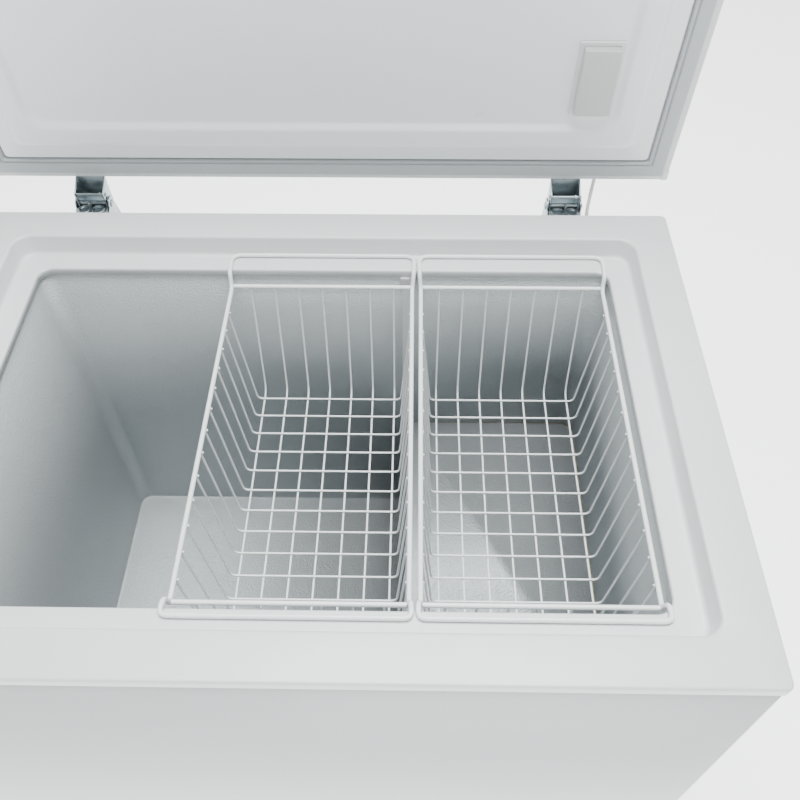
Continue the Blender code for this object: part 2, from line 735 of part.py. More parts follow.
def hinge_channel(side, x):
    """The channel on the cabinet's back: a web, two ears that carry the pivot pin, a spring seat."""
    inner = HINGE_WIDTH / 2 - HINGE_SHEET
    back = BACK_Y + GAP
    bottom = RIM_Z - HINGE_HEIGHT
    web = box(
        f"web_{side}",
        (x - HINGE_WIDTH / 2, back, bottom),
        (x + HINGE_WIDTH / 2, back + HINGE_SHEET, RIM_Z - 20 * MM),
        ZINC,
        CABINET,
    )
    outline = [(back, bottom), (BACK_Y + 52 * MM, bottom), (BACK_Y + 60 * MM, PIVOT_Z - 34 * MM)]
    for step in range(7):
        turn = radians(-20 + 200 * step / 6)
        outline.append((PIVOT_Y + EAR_RADIUS * cos(turn), PIVOT_Z + EAR_RADIUS * sin(turn)))
    outline.append((back, PIVOT_Z - 20 * MM))
    sheets = [as_mesh(web)]
    for sign in (-1, 1):
        ear = plate(f"ear_{side}_{sign}", outline, HINGE_SHEET, ZINC)
        ear_x = x + sign * (inner + HINGE_SHEET / 2)
        sheets.append(as_mesh(place(ear, CABINET, (ear_x, 0.0, 0.0))))
    seat = box(
        f"seat_{side}",
        (x - inner - MM, back, SPRING_SEAT_Z - HINGE_SHEET),
        (x + inner + MM, BACK_Y + 48 * MM, SPRING_SEAT_Z),
        ZINC,
        CABINET,
    )
    sheets.append(as_mesh(seat))
    body = sheets.pop(0)
    body.name = f"hinge_body_{side}"
    boolean(body, joined(f"hinge_sheets_{side}", sheets), "UNION", overlapping=True)
    eye = cylinder(f"eye_cutter_{side}", PIN_RADIUS + GAP, HINGE_WIDTH * 2, "X", ZINC, 12)
    boolean(body, place(eye, CABINET, (x, PIVOT_Y, PIVOT_Z)), "DIFFERENCE")
    pin = cylinder(f"pivot_pin_{side}", PIN_RADIUS, HINGE_WIDTH + 4 * MM, "X", ZINC, 12)
    place(pin, CABINET, (x, PIVOT_Y, PIVOT_Z))


def hinge_leaf(side, x):
    """The leaf on the lid's rear edge: a mount, a shelf and two cheeks, with its cam pin."""
    half = LEAF_WIDTH / 2
    rear = BACK_Y + LID_REAR - PIVOT_Y + GAP
    mount = box(
        f"mount_{side}",
        (x - half + MM, rear, LEAF_WEB_Z),
        (x + half - MM, rear + HINGE_SHEET, LID_HEIGHT),
        ZINC,
        LID,
    )
    shelf = box(
        f"shelf_{side}",
        (x - half + MM, rear + MM, LEAF_WEB_Z),
        (x + half - MM, 14 * MM, LEAF_WEB_Z + HINGE_SHEET),
        ZINC,
        LID,
    )
    edge_y, edge_z = rear + HINGE_SHEET / 2, LEAF_WEB_Z + HINGE_SHEET / 2
    cheek_outline = [(15 * MM, edge_z), (edge_y, edge_z), (edge_y, LEAF_WEB_Z - MM)]
    for dy, dz in ((-6, -2), (-6, -6), (3, -6)):
        cheek_outline.append((CAM_Y + dy * MM, CAM_Z + dz * MM))
    for step in range(6):
        turn = radians(-120 + 120 * step / 5)
        cheek_outline.append((CHEEK_RADIUS * cos(turn), CHEEK_RADIUS * sin(turn)))
    sheets = [as_mesh(mount), as_mesh(shelf)]
    for sign in (-1, 1):
        cheek = plate(f"cheek_{side}_{sign}", cheek_outline, HINGE_SHEET, ZINC)
        cheek_x = x + sign * (half - HINGE_SHEET / 2)
        sheets.append(as_mesh(place(cheek, LID, (cheek_x, 0.0, 0.0))))
    leaf = sheets.pop(0)
    leaf.name = f"hinge_leaf_{side}"
    boolean(leaf, joined(f"leaf_sheets_{side}", sheets), "UNION", overlapping=True)
    holes = []
    for name, radius, y, z in (
        ("pivot_hole", PIN_RADIUS, 0.0, 0.0),
        ("cam_hole", CAM_RADIUS, CAM_Y, CAM_Z),
    ):
        hole = cylinder(f"{name}_{side}", radius + GAP, HINGE_WIDTH, "X", ZINC, 12)
        holes.append(as_mesh(place(hole, LID, (x, y, z))))
    boolean(leaf, joined(f"leaf_holes_{side}", holes), "DIFFERENCE")
    cam = cylinder(f"cam_pin_{side}", CAM_RADIUS, LEAF_WIDTH + 3 * MM, "X", ZINC, 12)
    place(cam, LID, (x, CAM_Y, CAM_Z))


def hinge_springs(side, x):
    """The sliding spring plate with its tongue, and the two springs that push it up."""
    half = HINGE_WIDTH / 2 - HINGE_SHEET - MM
    plate_y = BACK_Y + YOKE_Y
    yoke = box(
        f"spring_plate_{side}",
        (x - half, plate_y - 10 * MM, YOKE_Z - YOKE_THICK),
        (x + half, plate_y + 6 * MM, YOKE_Z),
        ZINC,
        CABINET,
    )
    tongue = box(
        f"tongue_{side}",
        (x - TONGUE_WIDTH / 2, plate_y - 4 * MM, YOKE_Z - YOKE_THICK / 2),
        (x + TONGUE_WIDTH / 2, plate_y + 3 * MM, YOKE_Z + TONGUE_HEIGHT),
        ZINC,
        CABINET,
    )
    boolean(yoke, as_mesh(tongue), "UNION")

    bottom = SPRING_SEAT_Z + GAP + SPRING_WIRE
    length = YOKE_Z - YOKE_THICK - GAP - SPRING_WIRE - bottom
    steps = SPRING_TURNS * SPRING_STEPS
    for number, sign in enumerate((-1, 1), 1):
        coil = []
        for step in range(steps + 1):
            turn = 2 * pi * step / SPRING_STEPS
            rise = bottom + length * step / steps
            coil.append((SPRING_RADIUS * cos(turn), SPRING_RADIUS * sin(turn), rise))
        spring = tube(f"hinge_spring_{side}_{number}", coil, SPRING_WIRE, ZINC, sides_level=1)
        place(spring, CABINET, (x + sign * SPRING_SPACING / 2, plate_y, 0.0))


def lid_skin():
    """The lid's painted outer skin, folded down at the edges and in under the gasket's edge."""
    low = LID_BOTTOM + PIVOT_DROP
    top = low + LID_HEIGHT
    bend = LID_BEND
    loops = [
        inset_loop(LID_FLANGE, low + LID_RETURN, bend),
        inset_loop(LID_FLANGE, low, bend),
        inset_loop(0.0, low, bend),
        inset_loop(0.0, top - bend, bend),
        inset_loop(bend, top, bend),
    ]
    skin = place(lofted("lid_skin", loops, WHITE_STEEL, cap_end=True), LID)
    crown = max(skin.data.polygons, key=lambda face: face.center.z)
    solidify(skin, SHEET, -1.0 if crown.normal.z > 0 else 1.0)
    notches = []
    for number, (sx, sy) in enumerate(CORNERS, 1):
        x, y = sx * LID_HALF_X, LID_MIDDLE + sy * LID_HALF_Y
        xs = sorted((x + sx * MM, x - sx * CAP_WIDTH))
        ys = sorted((y + sy * MM, y - sy * CAP_LENGTH))
        notch = box(
            f"notch_{number}",
            (xs[0], ys[0], low - MM),
            (xs[1], ys[1], low + CAP_HEIGHT),
            WHITE_STEEL,
            LID,
        )
        notches.append(as_mesh(notch))
    boolean(skin, joined("corner_notches", notches), "DIFFERENCE")


def lid_corner_caps():
    """Plastic caps that close the lid's four lower corners."""
    low = LID_BOTTOM + PIVOT_DROP - CAP_PROUD
    for number, (sx, sy) in enumerate(CORNERS, 1):
        x, y = sx * (LID_HALF_X + CAP_PROUD), LID_MIDDLE + sy * (LID_HALF_Y + CAP_PROUD)
        xs = sorted((x, x - sx * (CAP_WIDTH + CAP_PROUD - GAP)))
        ys = sorted((y, y - sy * (CAP_LENGTH + CAP_PROUD - GAP)))
        cap = box(
            f"lid_corner_cap_{number}",
            (xs[0], ys[0], low),
            (xs[1], ys[1], low + CAP_HEIGHT + CAP_PROUD - GAP),
            WHITE_PLASTIC,
            LID,
            bevel=1.5 * MM,
        )
        xs = sorted((x - sx * CAP_WALL, x - sx * CAP_HEIGHT))
        ys = sorted((y - sy * CAP_WALL, y - sy * CAP_HEIGHT))
        hollow = box(
            f"cap_cutter_{number}",
            (xs[0], ys[0], low + CAP_WALL),
            (xs[1], ys[1], low + 2 * CAP_HEIGHT),
            WHITE_PLASTIC,
            LID,
        )
        boolean(cap, hollow, "DIFFERENCE")


def lid_gasket():
    """The magnetic gasket: a closed ring under the lid's edge."""
    outer = LID_FLANGE + GAP
    inner = outer + GASKET_WIDTH
    low, high = PIVOT_DROP + GAP, PIVOT_DROP + GASKET_HEIGHT
    edge = GASKET_EDGE
    section = [(outer, low + edge), (outer + edge, low), (inner - edge, low)]
    section += [(inner, low + edge), (inner, high), (outer, high)]
    loops = [inset_loop(inset, z, GASKET_CORNER) for inset, z in section]
    place(lofted("lid_gasket", loops, GASKET_RUBBER, closed_ring=True), LID)


def lid_inner_panel():
    """The white moulded panel, seated behind the gasket and stepped down in the middle."""
    seat = PIVOT_DROP + GASKET_HEIGHT + GAP
    edge = LID_FLANGE + GASKET_WIDTH + 3 * MM
    section = [(edge - GASKET_WIDTH + MM, seat), (edge - MM, seat), (edge, PANEL_FACE)]
    section += [(inset, PANEL_FACE - drop) for inset, drop in PANEL_STEPS]
    loops = [inset_loop(inset, z, GASKET_CORNER) for inset, z in section]
    panel = place(lofted("lid_inner_panel", loops, WHITE_PLASTIC, cap_end=True), LID)
    largest = max(panel.data.polygons, key=lambda face: face.area)
    solidify(panel, PANEL_THICK, -1.0 if largest.normal.z < 0 else 1.0)


def lid_foam():
    """Foam filling the lid between its skin and its inner panel."""
    low = PIVOT_DROP + GASKET_HEIGHT + PANEL_THICK + 3 * GAP
    high = PIVOT_DROP + LID_BOTTOM + LID_HEIGHT - SHEET - GAP
    inset = SHEET + GAP + CAP_LENGTH
    section = ((inset, low), (inset, high))
    body = [inset_loop(inset, z, GASKET_CORNER) for inset, z in section]
    place(lofted("lid_foam", body, FOAM, cap_start=True, cap_end=True), LID)


def lid_handle():
    """A pull handle on the lid's front edge."""
    front = LID_MIDDLE - LID_HALF_Y
    z = PIVOT_DROP + LID_BOTTOM + HANDLE_RISE
    grip_x = HANDLE_HALF_X - HANDLE_WALL
    handle = box(
        "lid_handle",
        (-HANDLE_HALF_X, front - HANDLE_DEPTH, z - HANDLE_HALF_Z),
        (HANDLE_HALF_X, front - GAP, z + HANDLE_HALF_Z),
        WHITE_PLASTIC,
        LID,
        bevel=5 * MM,
    )
    grip = box(
        "grip_cutter",
        (-grip_x, front - HANDLE_DEPTH * 2 / 3, z - 2 * HANDLE_HALF_Z),
        (grip_x, front + HANDLE_DEPTH, z + HANDLE_HALF_Z / 2),
        WHITE_PLASTIC,
        LID,
    )
    boolean(handle, grip, "DIFFERENCE")


def lid_lamp():
    """The lamp under the lid: a base on the inner panel and its clear cover."""
    face = PANEL_FACE - PANEL_STEPS[-1][1]
    y = LID_MIDDLE + LID_HALF_Y - LAMP_INSET
    split = face - LAMP_BASE
    for name, margin, low, high, look in (
        ("lamp_base", 0.0, split, face - GAP, WHITE_PLASTIC),
        ("lamp_cover", LAMP_MARGIN, split - LAMP_COVER, split - GAP, CLEAR_PLASTIC),
    ):
        box(
            name,
            (LAMP_X - LAMP_WIDTH / 2 + margin, y - LAMP_LENGTH + margin, low),
            (LAMP_X + LAMP_WIDTH / 2 - margin, y - margin, high),
            look,
            LID,
            bevel=1.2 * MM,
        )


def lamp_cable():
    """The lamp's flexible cable, from the cabinet's back up to the lid's rear edge."""
    start_y = BACK_Y + GLAND_DEPTH + 4 * GAP
    controls = [Vector((CABLE_X, start_y, CABLE_Z))]
    for x, y, z in CABLE_BENDS:
        controls.append(Vector((CABLE_X + x, start_y + y, CABLE_Z + z)))
    route = []
    for i in range(len(controls) - 1):
        before = controls[max(i - 1, 0)]
        a, b = controls[i], controls[i + 1]
        after = controls[min(i + 2, len(controls) - 1)]
        for step in range(3):
            t = step / 3
            point = (
                2 * a
                + (b - before) * t
                + (2 * before - 5 * a + 4 * b - after) * t**2
                + (3 * a - before - 3 * b + after) * t**3
            )
            route.append(point / 2)
    route.append(controls[-1])
    place(tube("lamp_cable", route, CABLE_RADIUS, CLEAR_PLASTIC), CABINET)
    gland = cylinder("lamp_cable_gland", CABLE_GLAND_RADIUS, GLAND_DEPTH, "Y", WHITE_PLASTIC, 12)
    place(gland, CABINET, (CABLE_X, BACK_Y + GAP + GLAND_DEPTH / 2, CABLE_Z))


def welded(name, frame, main, others):
    """One solid: a main wire and the wires that run into it."""
    solid = as_mesh(place(main, frame))
    rest = joined(f"{name}_wires", [as_mesh(place(wire, frame)) for wire in others])
    boolean(solid, rest, "UNION", overlapping=True)


def mesh_wire(name, points):
    return tube(name, points, MESH_WIRE, COATED_WIRE, sides_level=0)


def riser_foot(top, foot):
    """Where a rising wire is divided from the floor's, and the two ends at the gap."""
    along = (Vector(top) - Vector(foot)).normalized()
    split = Vector(foot) + along * RISER_SPLIT
    return split, split + along * GAP


def basket_end(name, frame, bar_y, knee_y, lip_y, hanger_y, inward, feet):
    """An end: the hanging loop, its cross bar and the wires that go down from the bar."""
    half = BASKET_WIDTH / 2
    outer = half + HANGER_FLARE
    ledge = RIM_Z - STEP_DROP + RAIL_WIRE + GAP
    corner, cut = HANGER_CORNER, HANGER_CORNER * (1 - cos(pi / 4))
    right = [
        (half, bar_y + inward * STUB, RAIL_Z),
        (half, knee_y, RAIL_Z),
        (outer - MM, lip_y, ledge),
        (outer, hanger_y + inward * corner, ledge),
        (outer - cut, hanger_y + inward * cut, ledge),
        (outer - corner, hanger_y, ledge),
    ]
    left = [(-x, y, z) for x, y, z in reversed(right)]
    loop = tube(name, right + left, RAIL_WIRE, COATED_WIRE)
    ends = [(-half - BAR_END, bar_y, RAIL_Z), (half + BAR_END, bar_y, RAIL_Z)]
    others = [tube(f"{name}_bar", ends, RAIL_WIRE, COATED_WIRE)]
    for number, foot in enumerate(feet):
        top = (foot[0], bar_y, RAIL_Z)
        others.append(mesh_wire(f"{name}_riser_{number}", [top, riser_foot(top, foot)[1]]))
    welded(name, frame, loop, others)


def basket(side, middle):
    """A hanging basket of coated wire, in two ends, two sides and a floor."""
    frame = empty(f"basket_{side}_frame", (middle, CABINET_Y, 0.0))
    half = BASKET_WIDTH / 2
    back_y, front_y = BACK_Y - BACK_BAR, BACK_Y - FRONT_BAR + MM
    floor = RAIL_Z - BASKET_DEPTH
    under = floor - 2 * MESH_WIRE + WELD
    floor_wires = []

    low = half - SIDE_TAPER
    slope = SIDE_TAPER / BASKET_DEPTH * SIDE_BEND
    feet = []
    for number in range(CROSS_WIRES):
        y = BACK_Y - CROSS_FIRST - number * CROSS_SPACING
        foot = (low + slope, y, floor + SIDE_BEND)
        feet.append(foot)
        path = [riser_foot((half, y, RAIL_Z), foot)[0], foot, (low - SIDE_BEND, y, floor)]
        path += [(-px, py, pz) for px, py, pz in reversed(path)]
        floor_wires.append(mesh_wire(f"cross_{side}_{number}", path))
    rail_back, rail_front = back_y - STUB - GAP, front_y + STUB + GAP
    for label, sign in (("left", -1), ("right", 1)):
        name = f"basket_{side}_side_{label}"
        ends = [(sign * half, rail_front, RAIL_Z), (sign * half, rail_back, RAIL_Z)]
        rail = tube(name, ends, RAIL_WIRE, COATED_WIRE)
        risers = []
        for number, (x, y, z) in enumerate(feet):
            top = (sign * half, y, RAIL_Z)
            end = riser_foot(top, (sign * x, y, z))[1]
            risers.append(mesh_wire(f"{name}_riser_{number}", [top, end]))
        welded(name, frame, rail, risers)

    back_slope = END_TAPER / BASKET_DEPTH * MESH_BEND
    front_slope = FRONT_TAPER / BASKET_DEPTH * MESH_BEND
    back_feet, front_feet = [], []
    for number in range(LONG_WIRES):
        x = (number - (LONG_WIRES - 1) / 2) * LONG_SPACING
        back_foot = (x, back_y - END_TAPER + back_slope, under + MESH_BEND)
        front_foot = (x, front_y + FRONT_TAPER - front_slope, under + MESH_BEND)
        back_feet.append(back_foot)
        front_feet.append(front_foot)
        path = [
            riser_foot((x, back_y, RAIL_Z), back_foot)[0],
            back_foot,
            (x, back_y - END_TAPER - MESH_BEND, under),
            (x, front_y + FRONT_TAPER + MESH_BEND, under),
            front_foot,
            riser_foot((x, front_y, RAIL_Z), front_foot)[0],
        ]
        floor_wires.append(mesh_wire(f"long_{side}_{number}", path))
    name = f"basket_{side}_floor"
    floor_wires[0].name = name
    welded(name, frame, floor_wires[0], floor_wires[1:])

    lip_back, lip_front = BACK_Y - WALL - HANGER_LIP, BACK_Y - DEPTH + WALL + HANGER_LIP
    hanger_back, hanger_front = BACK_Y - HANGER_BACK, BACK_Y - HANGER_FRONT
    knee = back_y - BAR_END
    name = f"basket_{side}_end_back"
    basket_end(name, frame, back_y, knee, lip_back, hanger_back, -1, back_feet)
    knee = front_y - MM
    name = f"basket_{side}_end_front"
    basket_end(name, frame, front_y, knee, lip_front, hanger_front, 1, front_feet)


def main():
    cabinet_shell()
    back_panel()
    rim_frame()
    liner = liner_walls()
    boolean(liner, bench_cutter("liner_bench_cutter", -MM), "DIFFERENCE")
    liner_floor()
    liner_joint_strip()
    cabinet_foam()
    base_pan()
    feet()
    vent_grille()
    compressor()
    controls()
    for side, x in (("left", -HINGE_X), ("right", HINGE_X)):
        hinge_channel(side, x)
        hinge_leaf(side, x)
        hinge_springs(side, x)
    lid_skin()
    lid_corner_caps()
    lid_gasket()
    lid_inner_panel()
    lid_foam()
    lid_handle()
    lid_lamp()
    lamp_cable()
    basket("right", BASKET_RIGHT_X)
    basket("left", BASKET_RIGHT_X - BASKET_PITCH)


main()
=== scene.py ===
"""Visible surfaces of a chest freezer: cabinet, lined cavity, wire baskets, sprung lid and lamp."""

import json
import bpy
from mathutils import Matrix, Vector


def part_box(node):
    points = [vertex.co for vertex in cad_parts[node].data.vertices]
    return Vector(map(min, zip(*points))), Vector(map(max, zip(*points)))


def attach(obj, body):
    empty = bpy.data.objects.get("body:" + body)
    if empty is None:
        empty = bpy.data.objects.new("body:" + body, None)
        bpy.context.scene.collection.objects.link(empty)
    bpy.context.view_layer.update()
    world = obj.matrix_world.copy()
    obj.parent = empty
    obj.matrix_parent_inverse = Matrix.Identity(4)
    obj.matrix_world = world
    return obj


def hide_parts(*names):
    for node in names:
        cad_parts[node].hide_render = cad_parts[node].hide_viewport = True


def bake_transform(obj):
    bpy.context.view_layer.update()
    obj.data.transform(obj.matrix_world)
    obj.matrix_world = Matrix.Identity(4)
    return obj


bl_info = {
    "name": "Chest Freezer Surfaces",
    "version": (1, 0, 0),
    "blender": (4, 5, 0),
    "location": "View3D > Sidebar > Freezer",
    "description": "Builds the fine surfaces of a chest freezer with an open lid and wire baskets",
    "category": "Add Mesh",
}

from math import cos, pi, radians, sin

import bmesh
import bpy
from mathutils import Matrix, Vector

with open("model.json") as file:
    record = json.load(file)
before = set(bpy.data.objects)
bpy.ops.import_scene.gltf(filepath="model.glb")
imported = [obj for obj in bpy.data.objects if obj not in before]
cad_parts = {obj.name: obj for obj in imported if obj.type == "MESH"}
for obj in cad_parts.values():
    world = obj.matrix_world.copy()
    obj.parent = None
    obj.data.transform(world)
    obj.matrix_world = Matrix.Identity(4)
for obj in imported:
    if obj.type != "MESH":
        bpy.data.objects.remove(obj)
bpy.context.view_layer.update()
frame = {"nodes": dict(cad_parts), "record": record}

MM = 0.001
WELD = 0.005 * MM  # points closer than this are one
LINING = 0.8 * MM  # thickness of the liner sheet


def joint_named(name):
    return next(j for j in frame["record"]["behaviour"]["joints"] if j["name"] == name)


# Where the cabinet and the lid are, from the frame.
SHELL_LOW, SHELL_HIGH = (Vector(corner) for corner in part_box("outer_shell"))
MIDDLE_Y = (SHELL_LOW.y + SHELL_HIGH.y) / 2
HALF_X = SHELL_HIGH.x
HALF_Y = SHELL_HIGH.y - MIDDLE_Y
BACK_Y = SHELL_HIGH.y
RIM_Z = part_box("rim_frame")[1][2]
FLOOR_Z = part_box("liner_floor")[0][2]
LID_JOINT = joint_named("lid_hinge")
PIVOT = Vector(LID_JOINT["pos_m"])
LID_TURN = Matrix.Rotation(-radians(LID_JOINT["range_deg"][1]), 4, "X")
LID_PLACE = Matrix.Translation(PIVOT) @ LID_TURN  # from the shut lid's axes at the pivot
CABINET_PLACE = Matrix.Translation((0.0, MIDDLE_Y, 0.0))
SIDES = (("left", -1), ("right", 1))
BASKET_PARTS = ("end_back", "end_front", "side_left", "side_right", "floor")
CORNERS = ((-1, -1), (1, -1), (-1, 1), (1, 1))

# Baskets. Cross wires are counted from the back; pitches and the first place are in millimetres.
BASKET_HALF = 130.5 * MM  # from a basket's middle to the middle of a side rail
CROSS_WIRES, CROSS_PITCH, FIRST_CROSS = 13, 34.4, 157
LONG_WIRES, LONG_PITCH = 7, 34.5

# Hinges: a channel on the cabinet's back holds two springs under a plate that the lid pushes.
STEEL = 2 * MM
CHANNEL_HALF = 24 * MM  # inside width
CHANNEL_LOW = RIM_Z - 125 * MM
SPRING_SEAT = RIM_Z - 106 * MM
SPRING_APART = 10.5 * MM  # from the hinge's middle to each spring
PLATE_TOP = RIM_Z - 12 * MM
PLATE_Y = BACK_Y + 22 * MM


def linear(code):
    """An sRGB hex colour as linear red, green, blue and alpha."""
    channels = [int(code[i : i + 2], 16) / 255 for i in (1, 3, 5)]
    curve = [c / 12.92 if c <= 0.04045 else ((c + 0.055) / 1.055) ** 2.4 for c in channels]
    return (*curve, 1.0)


def length(name, description, millimetres):
    return bpy.props.FloatProperty(
        name=name,
        description=description,
        default=millimetres * MM,
        min=0.0,
        unit="LENGTH",
        subtype="DISTANCE",
        precision=4,
    )


def colour(name, description, code):
    return bpy.props.FloatVectorProperty(
        name=name,
        description=description,
        default=linear(code),
        size=4,
        min=0.0,
        max=1.0,
        subtype="COLOR",
    )


class FreezerCabinet(bpy.types.PropertyGroup):
    """Sizes and colours of the cabinet and its rim."""

    rim_width: length("Rim width", "Flat top of the rim, from the outer face inwards", 52)
    rim_overhang: length("Rim overhang", "How far the rim stands past the painted steel", 2.5)
    rim_skirt: length("Rim skirt", "Height of the rim's outer edge", 14)
    step_drop: length("Step", "Drop from the rim down to the basket ledge", 30)
    step_draft: length("Step draft", "How far the step leans inwards", 4.6)
    wall: length("Wall", "From the outer face to the liner, ledge included", 88.2)
    lip: length("Ledge lip", "Height of the lip at the ledge's inner edge", 12)
    corner: length("Corner radius", "Radius of the opening's corners", 20)
    painted: colour("Painted steel", "Outer sheet of the cabinet and the lid", "#CDD1D2")
    plastic: colour("White plastic", "Moulded rim and trim", "#D3D6D7")


class FreezerLiner(bpy.types.PropertyGroup):
    """Sizes and colours of the embossed metal liner."""

    bench_height: length("Step height", "Top of the raised step above the low floor", 258)
    bench_width: length("Step start", "From the cabinet's right side to the step", 378)
    fold: length("Fold radius", "Radius of the folds in the sheet", 7)
    grain: length("Emboss", "Size of one dimple in the embossing", 2.6)
    metal: colour("Aluminium", "Embossed sheet", "#B0B6B8")


class FreezerBasket(bpy.types.PropertyGroup):
    """Sizes and colours of the hanging wire baskets."""

    rail_wire: length("Frame wire", "Thickness of the frame wire", 6)
    mesh_wire: length("Mesh wire", "Thickness of the mesh wire", 3)
    depth: length("Depth", "From the rails down to the bottom wires", 197)
    bend: length("Bend radius", "Bends of the mesh wires", 14)
    coating: colour("Coating", "Plastic coating of the wires", "#E9ECED")


class FreezerLid(bpy.types.PropertyGroup):
    """Sizes and colours of the lid, its gasket and its hinges."""

    flange: length("Edge", "Metal edge showing outside the gasket", 9.5)
    gasket_width: length("Gasket width", "Width of the gasket's sealing face", 25)
    bend: length("Bend", "Radius of the lid's outer edges", 4)
    gasket: colour("Gasket", "Soft grey gasket", "#A9AEB1")
    panel: colour("Inner panel", "White moulded panel", "#E4E8EA")
    zinc: colour("Zinc", "Plated steel of the hinges", "#A9B4B8")


class FreezerStage(bpy.types.PropertyGroup):
    """Floor, light and camera."""

    floor: colour("Floor", "Plain pale floor", "#F7F8F8")
    focal: bpy.props.FloatProperty(
        name="Focal length",
        description="Lens of the camera on a 36 mm sensor",
        default=38.05,
        min=1.0,
        unit="CAMERA",
    )


# Materials.


def add_node(tree, kind, inputs=None, **settings):
    """A node with its settings and its inputs, each a plain value or another node's output."""
    node = tree.nodes.new(kind)
    for name, value in settings.items():
        setattr(node, name, value)
    for name, value in (inputs or {}).items():
        if isinstance(value, bpy.types.NodeSocket):
            tree.links.new(value, node.inputs[name])
        else:
            node.inputs[name].default_value = value
    return node


def new_material(name, roughness, metallic=0.0, **sockets):
    """A named material with its tree, shader and object coordinates."""
    made = bpy.data.materials.new(name)
    made.use_nodes = True
    tree = made.node_tree
    shader = tree.nodes["Principled BSDF"]
    shader.inputs["Roughness"].default_value = roughness
    shader.inputs["Metallic"].default_value = metallic
    for socket, value in sockets.items():
        shader.inputs[socket.replace("_", " ")].default_value = value
    where = add_node(tree, "ShaderNodeTexCoord").outputs["Object"]
    return made, tree, shader, where


def connect(tree, shader, **outputs):
    for socket, output in outputs.items():
        tree.links.new(output, shader.inputs[socket.replace("_", " ")])


def cells(size):
    """The texture scale that gives features of one real size."""
    return 1.0 / size


def noise(tree, where, size, detail=2.0, **more):
    """Clouded noise with features of one real size."""
    inputs = {"Vector": where, "Scale": cells(size), "Detail": detail, **more}
    return add_node(tree, "ShaderNodeTexNoise", inputs).outputs["Fac"]


def blended(tree, factor, first, second):
    """A colour between two."""
    inputs = {"Factor": factor, "A": first, "B": second}
    return add_node(tree, "ShaderNodeMix", inputs, data_type="RGBA").outputs[2]


def dulled(tint, share):
    """The same colour with less light in it."""
    return [channel * share for channel in tint[:3]] + [1.0]


def ranged(tree, value, low, high):
    """A value from 0 to 1 spread between two others."""
    inputs = {"Value": value, "To Min": low, "To Max": high}
    return add_node(tree, "ShaderNodeMapRange", inputs).outputs["Result"]


def bumped(tree, height, distance, strength, **more):
    """A normal bent by a relief of real depth."""
    inputs = {"Height": height, "Distance": distance, "Strength": strength, **more}
    return add_node(tree, "ShaderNodeBump", inputs).outputs["Normal"]


def powder_coated_steel(tint):
    """Steel sheet, sprayed and baked: a fine orange peel that softens reflections a little."""
    made, tree, shader, where = new_material("powder-coated steel", 0.34, Coat_Weight=0.15)
    peel = noise(tree, where, 2.5 * MM, 3.0)
    clouds = noise(tree, where, 180 * MM)
    shade = blended(tree, clouds, tint, dulled(tint, 0.965))
    relief = bumped(tree, peel, 0.03 * MM, 0.5)
    connect(tree, shader, Base_Color=shade, Normal=relief)
    return made


def moulded_styrene(name, tint, rough=0.38):
    """Vacuum-formed polystyrene: a satin skin, a little uneven where the sheet drew thin."""
    made, tree, shader, where = new_material(name, rough, Specular_IOR_Level=0.5, IOR=1.59)
    drawn = noise(tree, where, 90 * MM, Roughness=0.5)
    grain = noise(tree, where, 1.8 * MM)
    shade = blended(tree, drawn, tint, dulled(tint, 0.95))
    satin = ranged(tree, drawn, rough - 0.06, rough + 0.08)
    waves = bumped(tree, drawn, 0.5 * MM, 0.25)
    relief = bumped(tree, grain, 0.02 * MM, 0.4, Normal=waves)
    connect(tree, shader, Base_Color=shade, Roughness=satin, Normal=relief)
    return made


def stucco_aluminium(tint, grain):
    """Stucco-embossed aluminium: rolled dimples that break the reflections into a fine sparkle."""
    made, tree, shader, where = new_material("stucco-embossed aluminium", 0.6, 0.62)
    drift = add_node(
        tree, "ShaderNodeTexNoise", {"Vector": where, "Scale": cells(grain * 2), "Detail": 1.0}
    ).outputs["Color"]
    shift = add_node(
        tree, "ShaderNodeVectorMath", {0: drift, 1: (grain, grain, grain)}, operation="MULTIPLY"
    ).outputs["Vector"]
    spot = add_node(
        tree, "ShaderNodeVectorMath", {0: where, 1: shift}, operation="ADD"
    ).outputs["Vector"]
    inputs = {"Vector": spot, "Scale": cells(grain)}
    dimples = add_node(
        tree, "ShaderNodeTexVoronoi", inputs, feature="SMOOTH_F1"
    ).outputs["Distance"]
    oxide = noise(tree, where, 140 * MM, 4.0, Roughness=0.6)
    shade = blended(tree, oxide, dulled(tint, 0.9), tint)
    glint = ranged(tree, dimples, 0.48, 0.72)
    relief = bumped(tree, dimples, 0.9 * MM, 0.9)
    connect(tree, shader, Base_Color=shade, Roughness=glint, Normal=relief)
    return made


def zinc_plated_steel(tint):
    """Pressed steel, zinc plated and blue passivated: bright, cool, slightly cloudy."""
    made, tree, shader, where = new_material("zinc-plated steel", 0.3, 1.0)
    clouds = noise(tree, where, 12 * MM, 4.0, Roughness=0.6)
    shade = blended(tree, clouds, dulled(tint, 0.72), tint)
    connect(tree, shader, Base_Color=shade, Roughness=ranged(tree, clouds, 0.2, 0.42))
    return made


def galvanised_steel():
    """Hot-dip galvanised sheet: flat grey spangles a few millimetres across."""
    made, tree, shader, where = new_material("galvanised steel sheet", 0.45, 1.0)
    inputs = {"Vector": where, "Scale": cells(11 * MM)}
    spangle = add_node(tree, "ShaderNodeTexVoronoi", inputs).outputs["Color"]
    shade = blended(tree, spangle, linear("#8F9598"), linear("#B7BCBE"))
    connect(tree, shader, Base_Color=shade)
    return made


